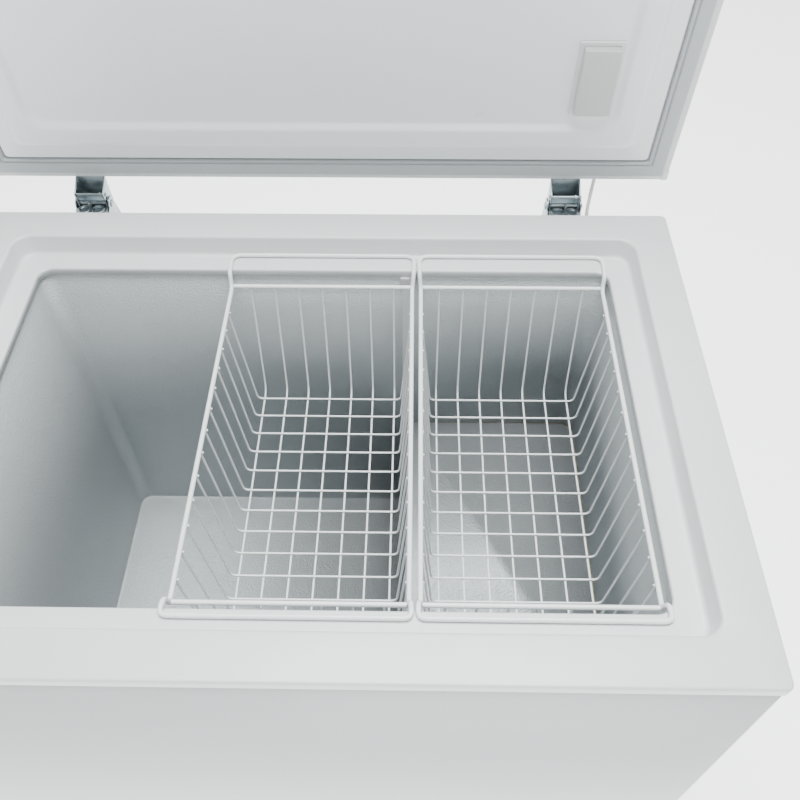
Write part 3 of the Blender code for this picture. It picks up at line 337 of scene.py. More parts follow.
def epoxy_coated_wire(tint):
    """Wire dipped in white epoxy: smooth and softly glossy, with slight pools in the coating."""
    made, tree, shader, where = new_material("epoxy-coated wire", 0.3, Coat_Weight=0.25)
    pools = noise(tree, where, 9 * MM)
    shade = blended(tree, pools, dulled(tint, 0.94), tint)
    relief = bumped(tree, pools, 0.12 * MM, 0.5)
    connect(tree, shader, Base_Color=shade, Normal=relief)
    return made


def soft_vinyl(tint):
    """Extruded PVC gasket: matte and finely grained, with a little dust in its tone."""
    made, tree, shader, where = new_material("extruded PVC gasket", 0.62)
    dust = noise(tree, where, 40 * MM, 3.0)
    grain = noise(tree, where, 1.5 * MM)
    shade = blended(tree, dust, dulled(tint, 0.92), tint)
    relief = bumped(tree, grain, 0.05 * MM, 0.5)
    connect(tree, shader, Base_Color=shade, Normal=relief)
    return made


def polyurethane_foam():
    """Poured polyurethane foam: a buff, open skin."""
    made, tree, shader, where = new_material("polyurethane foam", 0.9)
    inputs = {"Vector": where, "Scale": cells(2.5 * MM)}
    pores = add_node(tree, "ShaderNodeTexVoronoi", inputs).outputs["Distance"]
    shade = blended(tree, pores, linear("#C9B27C"), linear("#E6D6A8"))
    connect(tree, shader, Base_Color=shade)
    return made


def grained_black(name, roughness, grain, dark, light):
    """A near-black finish whose grain shows in its relief and, faintly, in its colour."""
    made, tree, shader, where = new_material(name, roughness)
    spots = noise(tree, where, grain)
    shade = blended(tree, spots, linear(dark), linear(light))
    relief = bumped(tree, spots, 0.06 * MM, 0.6)
    connect(tree, shader, Base_Color=shade, Normal=relief)
    return made


def black_enamel():
    """Black stoved enamel on the compressor's can: glossy with a slight orange peel."""
    return grained_black("black stoved enamel", 0.28, 3 * MM, "#151617", "#232526")


def black_moulding():
    """Moulded black ABS: a spark-eroded texture that keeps it dull."""
    return grained_black("moulded black ABS", 0.55, 0.9 * MM, "#1B1C1D", "#2A2C2D")


def copper_tube():
    """Drawn copper tube, browned where it was brazed."""
    made, tree, shader, where = new_material("drawn copper tube", 0.32, 1.0)
    heat = noise(tree, where, 30 * MM, 3.0)
    connect(tree, shader, Base_Color=blended(tree, heat, linear("#8A4B2E"), linear("#D08A63")))
    return made


def frosted_polycarbonate(name, tint, through=0.55):
    """Clear plastic with a frosted skin: light goes in and comes out spread."""
    made, tree, shader, where = new_material(
        name, 0.32, IOR=1.55, Transmission_Weight=through
    )
    frost = noise(tree, where, 5 * MM)
    connect(tree, shader, Base_Color=blended(tree, frost, dulled(tint, 0.93), tint))
    return made


MADE = {}


def finish(name, maker, *settings):
    """Each material is made once and then shared."""
    if name not in MADE:
        MADE[name] = maker(*settings)
    return MADE[name]


def painted():
    tint = list(bpy.context.scene.freezer_cabinet.painted)
    return finish("painted", powder_coated_steel, tint)


def white_plastic():
    tint = list(bpy.context.scene.freezer_cabinet.plastic)
    return finish("white plastic", moulded_styrene, "vacuum-formed white polystyrene", tint)


def panel_plastic():
    tint = list(bpy.context.scene.freezer_lid.panel)
    return finish("panel", moulded_styrene, "vacuum-formed lid panel", tint, 0.3)


def aluminium():
    liner = bpy.context.scene.freezer_liner
    return finish("aluminium", stucco_aluminium, list(liner.metal), liner.grain)


def zinc():
    return finish("zinc", zinc_plated_steel, list(bpy.context.scene.freezer_lid.zinc))


# Shapes.


def round_off(bm, geom, radius, segments, affect="EDGES"):
    """Rounds edges, or the corners at vertices."""
    bmesh.ops.bevel(
        bm,
        geom=geom,
        offset=radius,
        segments=segments,
        profile=0.5,
        affect=affect,
        material=-1,
    )


def outline(half_x, half_y, radius, z, middle_y, segments=8):
    """A rounded rectangle: a grid face with its corners bevelled."""
    made = bmesh.new()
    verts = bmesh.ops.create_grid(made, x_segments=1, y_segments=1, size=1.0)["verts"]
    bmesh.ops.scale(made, vec=(half_x, half_y, 1.0), verts=verts)
    bmesh.ops.translate(made, vec=(0.0, middle_y, z), verts=verts)
    round_off(made, verts, radius, segments, "VERTICES")
    return made


def sweep(bm, sections, bend, middle_y=0.0, close=False, cap=False):
    """Draws an outline through sections of (half x, half y, corner radius, z), softly bent.

    Every section is inset alike on all sides, so a path of half x, radius and z holds them all.
    """
    spread = sections[0][0] - sections[0][1]
    profile = [(half_x, radius, z) for half_x, _, radius, z in sections]
    stops = rounded_path(profile, bend, 4, close)
    if close:
        stops.append(stops[0])
    order = bm.verts.layers.int.new("order")
    edges = []
    for half_x, radius, z in stops:
        target = outline(half_x, half_x - spread, radius, z, middle_y)
        spots = [vert.co.copy() for vert in target.verts]
        if edges:
            drawn = bmesh.ops.extrude_edge_only(bm, edges=edges)["geom"]
            verts = [item for item in drawn if isinstance(item, bmesh.types.BMVert)]
            edges = [item for item in drawn if isinstance(item, bmesh.types.BMEdge)]
            for vert in verts:
                vert.co = spots[vert[order]]
        else:
            verts = [bm.verts.new(spot) for spot in spots]
            for number, vert in enumerate(verts):
                vert[order] = number
            edges = [bm.edges.new([verts[v.index] for v in e.verts]) for e in target.edges]
        target.free()
    if cap:
        bmesh.ops.contextual_create(bm, geom=edges)
    bm.verts.layers.int.remove(order)


def rounded_box(bm, low, high, radius, segments=3):
    """A cube scaled between two corners, its edges rounded."""
    low, high = Vector(low), Vector(high)
    verts = bmesh.ops.create_cube(bm, size=1.0)["verts"]
    bmesh.ops.scale(bm, vec=high - low, verts=verts)
    bmesh.ops.translate(bm, vec=(low + high) / 2, verts=verts)
    edges = list({edge for vert in verts for edge in vert.link_edges})
    round_off(bm, edges, radius, segments)


def turned(bm, profile, centre, axis, steps=32):
    """A profile of (radius, distance along the axis), spun right round."""
    turn = Vector((0.0, 0.0, 1.0)).rotation_difference(Vector(axis)).to_matrix().to_4x4()
    place = Matrix.Translation(centre) @ turn
    verts = [bm.verts.new((r, 0.0, z)) for r, z in profile]
    edges = [bm.edges.new(pair) for pair in zip(verts, verts[1:])]
    bmesh.ops.spin(
        bm,
        geom=verts + edges,
        cent=(0.0, 0.0, 0.0),
        axis=(0.0, 0.0, 1.0),
        dvec=(0.0, 0.0, 0.0),
        angle=2 * pi,
        steps=steps,
        use_merge=True,
    )
    faces = {f for v in verts for f in v.link_faces}
    reach = set(faces)
    while faces:
        faces = {g for f in faces for e in f.edges for g in e.link_faces} - reach
        reach |= faces
    loose = list({v for f in reach for v in f.verts})
    bmesh.ops.remove_doubles(bm, verts=loose, dist=WELD)
    loose = [v for v in loose if v.is_valid]
    bmesh.ops.transform(bm, matrix=place, verts=loose)


def sheet_plate(bm, points, x, gauge):
    """A flat plate in the YZ plane from its outline, with slightly rounded edges."""
    half = gauge / 2
    verts = [bm.verts.new((x - half, y, z)) for y, z in points]
    face = bm.faces.new(verts)
    raised = bmesh.ops.extrude_face_region(bm, geom=[face])["geom"]
    moved = [item for item in raised if isinstance(item, bmesh.types.BMVert)]
    bmesh.ops.translate(bm, vec=(gauge, 0.0, 0.0), verts=moved)
    around = set(verts) | set(moved)
    sharp = []
    for edge in bm.edges:
        a, b = edge.verts
        if {a, b} <= around and abs(a.co.x - b.co.x) < half:
            sharp.append(edge)
    round_off(bm, sharp, 0.3 * MM, 2)


def rounded_path(points, bend, steps=5, closed=False):
    """A path with its corners turned smoothly: one bend for all, or one for each point."""
    points = [Vector(point) for point in points]
    bends = bend if isinstance(bend, (list, tuple)) else [bend] * len(points)
    path = []
    for i, corner in enumerate(points):
        ends = not closed and i in (0, len(points) - 1)
        if ends or not bends[i]:
            path.append(corner)
            continue
        before, after = points[i - 1], points[(i + 1) % len(points)]
        reach = min(bends[i], (before - corner).length * 0.45, (after - corner).length * 0.45)
        start = corner + (before - corner).normalized() * reach
        end = corner + (after - corner).normalized() * reach
        for step in range(steps + 1):
            t = step / steps
            path.append(start.lerp(corner, t).lerp(corner.lerp(end, t), t))
    return path


def drawn_wire(bm, paths, radius, roundness=3, closed=False):
    """Round wire along each path, as a bevelled curve turned into mesh."""
    curve = bpy.data.curves.new("wire", "CURVE")
    curve.dimensions = "3D"
    curve.bevel_depth = radius
    curve.bevel_resolution = roundness
    curve.use_fill_caps = True
    for path in paths:
        spline = curve.splines.new("POLY")
        spline.points.add(len(path) - 1)
        for target, point in zip(spline.points, path):
            target.co = (*point, 1.0)
        spline.use_cyclic_u = closed
    guide = bpy.data.objects.new("wire", curve)
    bpy.context.scene.collection.objects.link(guide)
    bpy.context.view_layer.update()
    graph = bpy.context.evaluated_depsgraph_get()
    mesh = bpy.data.meshes.new_from_object(guide.evaluated_get(graph), depsgraph=graph)
    bm.from_mesh(mesh)
    bpy.data.objects.remove(guide, do_unlink=True)
    bpy.data.meshes.remove(mesh)
    bpy.data.curves.remove(curve)


def piece(name, bm, material, body, replaced=(), place=None, sharp=35, outward=True):
    """The finished piece: normals out, smooth shading, its body and what it replaces."""
    bmesh.ops.remove_doubles(bm, verts=bm.verts, dist=WELD)
    if outward:
        bmesh.ops.recalc_face_normals(bm, faces=bm.faces)
    if place:
        bmesh.ops.transform(bm, matrix=place, verts=bm.verts)
    mesh = bpy.data.meshes.new(name)
    bm.to_mesh(mesh)
    bm.free()
    mesh.materials.append(material)
    mesh.shade_smooth()
    mesh.set_sharp_from_angle(angle=radians(sharp))
    made = bpy.data.objects.new(name, mesh)
    bpy.context.scene.collection.objects.link(made)
    if body:
        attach(made, body)
    if replaced:
        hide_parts(*replaced)
    return made


def sheet(name, bm, material, body, replaced, place, gauge):
    """A piece of sheet: its visible face as drawn, and its thickness grown behind that."""
    made = piece(name, bm, material, body, replaced, place, outward=False)
    behind = made.modifiers.new("sheet thickness", "SOLIDIFY")
    behind.thickness = gauge
    behind.offset = -1.0


def cut_planes(bm, planes):
    """New edges where planes, each a point and a normal, meet the surface."""
    for point, normal in planes:
        whole = [*bm.verts, *bm.edges, *bm.faces]
        bmesh.ops.bisect_plane(bm, geom=whole, plane_co=point, plane_no=normal)


def turn_faces(bm, wanted):
    """Flips each face that looks away from the direction wanted at its middle."""
    for face in bm.faces:
        face.normal_update()
        if face.normal.dot(wanted(face.calc_center_median())) < 0:
            face.normal_flip()


def repaint(node, material):
    """A CAD node whose shape is right keeps it and gets its real finish."""
    target = frame["nodes"][node]
    target.data.materials.clear()
    target.data.materials.append(material)


# Operators, one for each piece or group of like pieces.


class FREEZER_OT_cabinet(bpy.types.Operator):
    """The painted steel shell, its back panel, base and feet"""

    bl_idname = "freezer.add_cabinet"
    bl_label = "Cabinet"

    def execute(self, context):
        vent_low, vent_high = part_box("vent_grille")
        lap, turn_in = 8 * MM, 25 * MM
        low_y, high_y = vent_low[1] - MIDDLE_Y + lap, vent_high[1] - MIDDLE_Y - lap
        low_z, high_z = vent_low[2] + lap, vent_high[2] - lap
        bm = bmesh.new()
        sweep(bm, [(HALF_X, HALF_Y, 6 * MM, z) for z in (SHELL_LOW.z, SHELL_HIGH.z)], 0.0)
        cuts = [((s * (HALF_X - turn_in), 0, 0), (1, 0, 0)) for s in (-1, 1)]
        cuts += [((0, y, 0), (0, 1, 0)) for y in (low_y, high_y)]
        cuts += [((0, 0, z), (0, 0, 1)) for z in (low_z, high_z)]
        cut_planes(bm, cuts)
        gone = []
        for face in bm.faces:
            x, y, z = face.calc_center_median()
            behind = y > HALF_Y - MM and abs(x) < HALF_X - turn_in
            vent = x > HALF_X - MM and low_y < y < high_y and low_z < z < high_z
            if behind or vent:
                gone.append(face)
        bmesh.ops.delete(bm, geom=gone, context="FACES")
        turn_faces(bm, lambda middle: middle * Vector((1, 1, 0)))
        look, replaced = painted(), ["outer_shell"]
        sheet(
            "cabinet_shell", bm, look, "cabinet", replaced, CABINET_PLACE, 0.9 * MM
        )
        repaint("back_panel", painted())
        repaint("base_pan", finish("galvanised", galvanised_steel))
        repaint("cabinet_foam", finish("foam", polyurethane_foam))
        repaint("lid_foam", finish("foam", polyurethane_foam))
        for number in range(1, 5):
            self.foot(number)
        return {"FINISHED"}

    def foot(self, number):
        """A moulded foot: a rounded base and a narrower neck."""
        low, high = (Vector(corner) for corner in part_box(f"foot_{number}"))
        middle = (low + high) / 2
        radius, tall = (high.x - low.x) / 2, high.z - low.z
        profile = [(0.0, 0.0), (radius - 2 * MM, 0.0), (radius, 2 * MM), (radius, 9 * MM)]
        profile += [(radius - 3 * MM, 11 * MM), (radius - 5 * MM, tall), (0.0, tall)]
        bm = bmesh.new()
        turned(bm, profile, (middle.x, middle.y, low.z), (0, 0, 1), 40)
        black = finish("black", black_moulding)
        piece(f"foot_ring_{number}", bm, black, "cabinet", [f"foot_{number}"])


class FREEZER_OT_rim(bpy.types.Operator):
    """The moulded rim with its step and the ledge that carries the baskets"""

    bl_idname = "freezer.add_rim"
    bl_label = "Rim"

    def execute(self, context):
        size = context.scene.freezer_cabinet
        out_x, out_y = HALF_X + size.rim_overhang, HALF_Y + size.rim_overhang
        rim_x, rim_y = HALF_X - size.rim_width, HALF_Y - size.rim_width
        step_x, step_y = rim_x - size.step_draft, rim_y - size.step_draft
        hole_x, hole_y = HALF_X - size.wall, HALF_Y - size.wall
        ledge = RIM_Z - size.step_drop
        bm = bmesh.new()
        sections = [
            (out_x, out_y, 8 * MM, RIM_Z - size.rim_skirt),
            (out_x, out_y, 8 * MM, RIM_Z),
            (rim_x, rim_y, size.corner + 4 * MM, RIM_Z),
            (step_x, step_y, size.corner, ledge),
            (hole_x, hole_y, size.corner, ledge),
            (hole_x, hole_y, size.corner, ledge - size.lip),
        ]
        sweep(bm, sections, [0.0, 3 * MM, 4 * MM, 6 * MM, 3 * MM, 0.0])
        top = max(bm.faces, key=lambda f: f.calc_center_median().z)
        if top.normal.z < 0:
            bmesh.ops.reverse_faces(bm, faces=bm.faces)
        look, replaced = white_plastic(), ["rim_frame"]
        sheet(
            "rim_moulding", bm, look, "cabinet", replaced, CABINET_PLACE, 1.8 * MM
        )
        return {"FINISHED"}


class FREEZER_OT_liner(bpy.types.Operator):
    """The embossed aluminium cavity with its raised step and joint strip"""

    bl_idname = "freezer.add_liner"
    bl_label = "Liner"

    def execute(self, context):
        size, rim = context.scene.freezer_liner, context.scene.freezer_cabinet
        gap = 2.3 * MM
        half_x, half_y = HALF_X - rim.wall + gap, HALF_Y - rim.wall + gap
        radius = rim.corner + gap
        top = RIM_Z - rim.step_drop - 2.3 * MM
        floor = FLOOR_Z + 0.9 * MM
        bench_x = HALF_X - size.bench_width
        bench_z = floor + size.bench_height
        self.tub(half_x, half_y, radius, top, floor, bench_x, bench_z)
        self.bench(size, half_x, half_y, radius, floor, bench_x, bench_z)
        self.strip(rim, bench_x, bench_z)
        return {"FINISHED"}

    def tub(self, half_x, half_y, radius, top, floor, bench_x, bench_z):
        """Walls and low floor, open where the raised step goes."""
        bm = bmesh.new()
        foot = (half_x - 8 * MM, half_y - 8 * MM, radius - 6 * MM, floor)
        sections = [(half_x, half_y, radius, top), (half_x, half_y, radius, floor), foot]
        sweep(bm, sections, [0.0, 5 * MM, 0.0], cap=True)
        cut_planes(bm, [((bench_x, 0, 0), (1, 0, 0)), ((0, 0, bench_z), (0, 0, 1))])
        under = []
        for face in bm.faces:
            middle = face.calc_center_median()
            if middle.x > bench_x and middle.z < bench_z:
                under.append(face)
        bmesh.ops.delete(bm, geom=under, context="FACES")
        turn_faces(bm, lambda middle: Vector((0, 0, floor + 100 * MM)) - middle)
        look, replaced = aluminium(), ["liner_walls", "liner_floor"]
        sheet(
            "liner_tub", bm, look, "cabinet", replaced, CABINET_PLACE, LINING
        )

    def bench(self, size, half_x, half_y, radius, floor, bench_x, bench_z):
        """The raised step over the compressor: its top, a fold and its front."""
        bm = bmesh.new()
        verts = bmesh.ops.create_grid(bm, x_segments=1, y_segments=1, size=1.0)["verts"]
        half = (half_x - bench_x) / 2
        bmesh.ops.scale(bm, vec=(half - 0.3 * MM, half_y - 0.6 * MM, 1.0), verts=verts)
        bmesh.ops.translate(bm, vec=(bench_x + half - 0.3 * MM, 0.0, bench_z), verts=verts)
        right = [v for v in verts if v.co.x > bench_x + half]
        round_off(bm, right, radius, 6, "VERTICES")
        front = [e for e in bm.edges if all(v.co.x < bench_x + MM for v in e.verts)]
        down = bmesh.ops.extrude_edge_only(bm, edges=front)["geom"]
        moved = [item for item in down if isinstance(item, bmesh.types.BMVert)]
        bmesh.ops.translate(bm, vec=(0.0, 0.0, floor - bench_z), verts=moved)
        crease = []
        for edge in bm.edges:
            at_front = all(abs(v.co.x - bench_x) < MM for v in edge.verts)
            if at_front and len(edge.link_faces) == 2:
                crease.append(edge)
        round_off(bm, crease, size.fold, 6)
        turn_faces(bm, lambda middle: Vector((-1, 0, 1)))
        look = aluminium()
        sheet(
            "liner_bench", bm, look, "cabinet", [], CABINET_PLACE, LINING
        )

    def strip(self, rim, bench_x, bench_z):
        """A cover over the joint in the back wall, with a clip at its top."""
        wall_y = HALF_Y - rim.wall + 2 * MM
        low_z, high_z = bench_z + 2 * MM, RIM_Z - rim.step_drop - rim.lip
        bm = bmesh.new()
        low = (bench_x - 7.5 * MM, wall_y - 2 * MM, low_z)
        rounded_box(bm, low, (bench_x + 7.5 * MM, wall_y, high_z), 0.8 * MM)
        low = (bench_x - 10 * MM, wall_y - 4 * MM, high_z - 16 * MM)
        rounded_box(bm, low, (bench_x + 4 * MM, wall_y - 1.7 * MM, high_z - MM), MM)
        look, replaced = white_plastic(), ["liner_joint_strip"]
        piece("joint_cover_strip", bm, look, "cabinet", replaced, CABINET_PLACE)


class FREEZER_OT_baskets(bpy.types.Operator):
    """Two hanging baskets of coated wire"""

    bl_idname = "freezer.add_baskets"
    bl_label = "Baskets"

    def execute(self, context):
        size, rim = context.scene.freezer_basket, context.scene.freezer_cabinet
        for side, _ in SIDES:
            low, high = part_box(f"basket_{side}_floor")
            self.basket(side, (low[0] + high[0]) / 2, size, rim)
        return {"FINISHED"}

    def basket(self, side, middle, size, rim):
        rail, mesh = size.rail_wire / 2, size.mesh_wire / 2
        half = BASKET_HALF
        outer = half + 3 * MM
        rail_z = RIM_Z - 46 * MM
        ledge = RIM_Z - rim.step_drop + rail + 0.3 * MM
        back, front = HALF_Y - 61 * MM, HALF_Y - 622 * MM
        lip_back, lip_front = HALF_Y - rim.wall - 10 * MM, rim.wall + 10 * MM - HALF_Y
        back_y, front_y = HALF_Y - 106 * MM, HALF_Y - 598 * MM
        floor = rail_z - size.depth
        bm = bmesh.new()

        # One closed frame: the side rails, and at each end a loop that hangs on the ledge.
        right = [
            (outer, front, ledge),
            (outer - MM, lip_front, ledge),
            (half, front_y - MM, rail_z),
            (half, back_y - 2 * MM, rail_z),
            (outer - MM, lip_back, ledge),
            (outer, back, ledge),
        ]
        left = [(-x, y, z) for x, y, z in reversed(right)]
        drawn_wire(bm, [rounded_path(right + left, 15 * MM, 6, True)], rail, 5, True)
        reach = half + 2 * MM
        bars = [[(-reach, y, rail_z), (reach, y, rail_z)] for y in (back_y, front_y)]
        drawn_wire(bm, bars, rail, 4)

        # Cross wires lie on the long ones, and all of them end in a weld under the frame.
        wires, welds = [], []
        for number in range(CROSS_WIRES):
            y = HALF_Y - (FIRST_CROSS + number * CROSS_PITCH) * MM
            low = half - 17 * MM
            path = [(half, y, rail_z), (low, y, floor), (-low, y, floor), (-half, y, rail_z)]
            wires.append(rounded_path(path, 9 * MM, 6))
            welds += [(half - rail, y, rail_z - rail), (rail - half, y, rail_z - rail)]
        under = floor - 2 * mesh
        for number in range(LONG_WIRES):
            x = (number - LONG_WIRES // 2) * LONG_PITCH * MM
            path = [(x, back_y, rail_z), (x, back_y - 31 * MM, under)]
            path += [(x, front_y + 14 * MM, under), (x, front_y, rail_z)]
            wires.append(rounded_path(path, size.bend, 6))
            welds += [(x, back_y, rail_z - rail), (x, front_y, rail_z - rail)]
        drawn_wire(bm, wires, mesh, 2)
        for spot in welds:
            bead = bmesh.ops.create_icosphere(bm, subdivisions=1, radius=mesh * 1.35)["verts"]
            bmesh.ops.translate(bm, vec=spot, verts=bead)

        coat = finish("coated wire", epoxy_coated_wire, list(size.coating))
        parts = [f"basket_{side}_{part}" for part in BASKET_PARTS]
        place = Matrix.Translation((middle, MIDDLE_Y, 0.0))
        name, body = f"wire_basket_{side}", f"basket_{side}"
        piece(name, bm, coat, body, parts, place, sharp=60)


class FREEZER_OT_lid(bpy.types.Operator):
    """The lid's skin, gasket, inner panel, corner caps and handle"""

    bl_idname = "freezer.add_lid"
    bl_label = "Lid"

    def execute(self, context):
        size = context.scene.freezer_lid
        half_x = HALF_X + 6.5 * MM
        rear, front = 1 * MM, 4 * MM
        half_y = (2 * HALF_Y + rear + front) / 2
        middle = BACK_Y + rear - half_y - PIVOT.y
        rim = RIM_Z - PIVOT.z
        low, top = rim + 5 * MM, rim + 63 * MM
        self.skin(size, half_x, half_y, middle, low, top)
        self.gasket(size, half_x, half_y, middle, rim)
        self.panel(size, half_x, half_y, middle, rim)
        self.caps(half_x, half_y, middle, low)
        self.handle(half_y, middle, rim)
        return {"FINISHED"}

    def skin(self, size, half_x, half_y, middle, low, top):
        """A shallow painted tray, its edge turned in round the gasket."""
        bm = bmesh.new()
        flange_x, flange_y = half_x - size.flange, half_y - size.flange
        crown_x, crown_y = half_x - 3 * size.bend, half_y - 3 * size.bend
        sections = [
            (flange_x, flange_y, 4 * MM, low + 3 * MM),
            (flange_x, flange_y, 4 * MM, low),
            (half_x, half_y, 7 * MM, low),
            (half_x, half_y, 7 * MM, top),
            (crown_x, crown_y, 7 * MM, top),
        ]
        sweep(bm, sections, [0.0, 0.8 * MM, 1.5 * MM, size.bend, 0.0], middle, cap=True)
        crown = max(bm.faces, key=lambda f: f.calc_area())
        if crown.normal.z < 0:
            bmesh.ops.reverse_faces(bm, faces=bm.faces)
        sheet("lid_shell", bm, painted(), "lid", ["lid_skin"], LID_PLACE, 0.8 * MM)

    def gasket(self, size, half_x, half_y, middle, rim):
        """A sealing face with a magnet inside it, then two soft folds back to the panel."""
        outer = size.flange + 0.3 * MM
        inner = outer + size.gasket_width
        steps = [  # inset, then rise and bend in millimetres
            (outer, 8.0, 0.0),
            (outer, 0.4, 1.8),
            (inner - 7.5 * MM, 0.4, 1.2),
            (inner - 6.5 * MM, 3.2, 0.6),
            (inner - 5.0 * MM, 3.2, 0.6),
            (inner - 4.2 * MM, 1.4, 0.6),
            (inner - 1.6 * MM, 1.4, 0.8),
            (inner - 0.4 * MM, 4.0, 0.6),
            (inner - 0.2 * MM, 8.0, 0.0),
        ]
        bm = bmesh.new()
        sections, bends = [], []
        for inset, rise, soft in steps:
            sections.append((half_x - inset, half_y - inset, 2.5 * MM, rim + rise * MM))
            bends.append(soft * MM)
        sweep(bm, sections, bends, middle, close=True)
        vinyl = finish("gasket", soft_vinyl, list(size.gasket))
        piece("lid_seal", bm, vinyl, "lid", ["lid_gasket"], LID_PLACE)

    def panel(self, size, half_x, half_y, middle, rim):
        """The moulded panel: a raised border, then two shallow steps."""
        edge = size.flange + size.gasket_width + 3 * MM
        face = 2.5 * MM
        steps = [  # inset, rise, corner radius and bend
            (edge - 6 * MM, 8.3 * MM, 4 * MM, 0.0),
            (edge - 1 * MM, 8.3 * MM, 5 * MM, 1.0 * MM),
            (edge, face, 6 * MM, 2.0 * MM),
            (61 * MM, face, 12 * MM, 3.0 * MM),
            (69 * MM, face - 9 * MM, 18 * MM, 4.0 * MM),
            (95 * MM, face - 9 * MM, 26 * MM, 4.0 * MM),
            (103 * MM, face - 4 * MM, 32 * MM, 4.0 * MM),
            (135 * MM, face - 4 * MM, 40 * MM, 0.0),
        ]
        bm = bmesh.new()
        sections, bends = [], []
        for inset, rise, corner, soft in steps:
            sections.append((half_x - inset, half_y - inset, corner, rim + rise))
            bends.append(soft)
        sweep(bm, sections, bends, middle, cap=True)
        bmesh.ops.recalc_face_normals(bm, faces=bm.faces)
        largest = max(bm.faces, key=lambda f: f.calc_area())
        if largest.normal.z > 0:
            bmesh.ops.reverse_faces(bm, faces=bm.faces)
        look, replaced = panel_plastic(), ["lid_inner_panel"]
        sheet("lid_panel", bm, look, "lid", replaced, LID_PLACE, 1.4 * MM)

    def caps(self, half_x, half_y, middle, low):
        """A moulded cap round each corner of the lid."""
        for number, (sx, sy) in enumerate(CORNERS, 1):
            bm = bmesh.new()
            x, y = sx * (half_x + MM), middle + sy * (half_y + MM)
            xs = sorted((x, x - sx * 10 * MM))
            ys = sorted((y, y - sy * 18.5 * MM))
            rounded_box(bm, (xs[0], ys[0], low - MM), (xs[1], ys[1], low + 30 * MM), 2.2 * MM, 4)
            name, replaced = f"corner_cap_{number}", [f"lid_corner_cap_{number}"]
            piece(name, bm, white_plastic(), "lid", replaced, LID_PLACE)

    def handle(self, half_y, middle, rim):
        """A pull handle with a hollow for the fingers behind its front."""
        front = middle - half_y
        z = rim + 31 * MM
        bm = bmesh.new()
        low = (-110 * MM, front - 24 * MM, z - 20 * MM)
        rounded_box(bm, low, (110 * MM, front - 0.3 * MM, z + 20 * MM), 5 * MM, 5)
        look, replaced = white_plastic(), ["lid_handle"]
        shape = piece("pull_handle", bm, look, "lid", replaced, LID_PLACE)
        hollow = bmesh.new()
        low = (-92 * MM, front - 16 * MM, z - 40 * MM)
        rounded_box(hollow, low, (92 * MM, front + 24 * MM, z + 10 * MM), 4 * MM, 4)
        bmesh.ops.recalc_face_normals(hollow, faces=hollow.faces)
        bmesh.ops.transform(hollow, matrix=LID_PLACE, verts=hollow.verts)
        carve(shape, hollow)


def carve(target, cutter_bm):
    """Cuts a shape out of a piece and keeps the result in its mesh."""
    mesh = bpy.data.meshes.new("cutter")
    cutter_bm.to_mesh(mesh)
    cutter_bm.free()
    cutter = bpy.data.objects.new("cutter", mesh)
    bpy.context.scene.collection.objects.link(cutter)
    cut = target.modifiers.new("cut", "BOOLEAN")
    cut.operation = "DIFFERENCE"
    cut.solver = "EXACT"
    cut.object = cutter
    bpy.context.view_layer.update()
    graph = bpy.context.evaluated_depsgraph_get()
    result = bpy.data.meshes.new_from_object(target.evaluated_get(graph), depsgraph=graph)
    target.modifiers.remove(cut)
    bpy.data.objects.remove(cutter, do_unlink=True)
    target.data = result
    result.shade_smooth()
    result.set_sharp_from_angle(angle=radians(35))


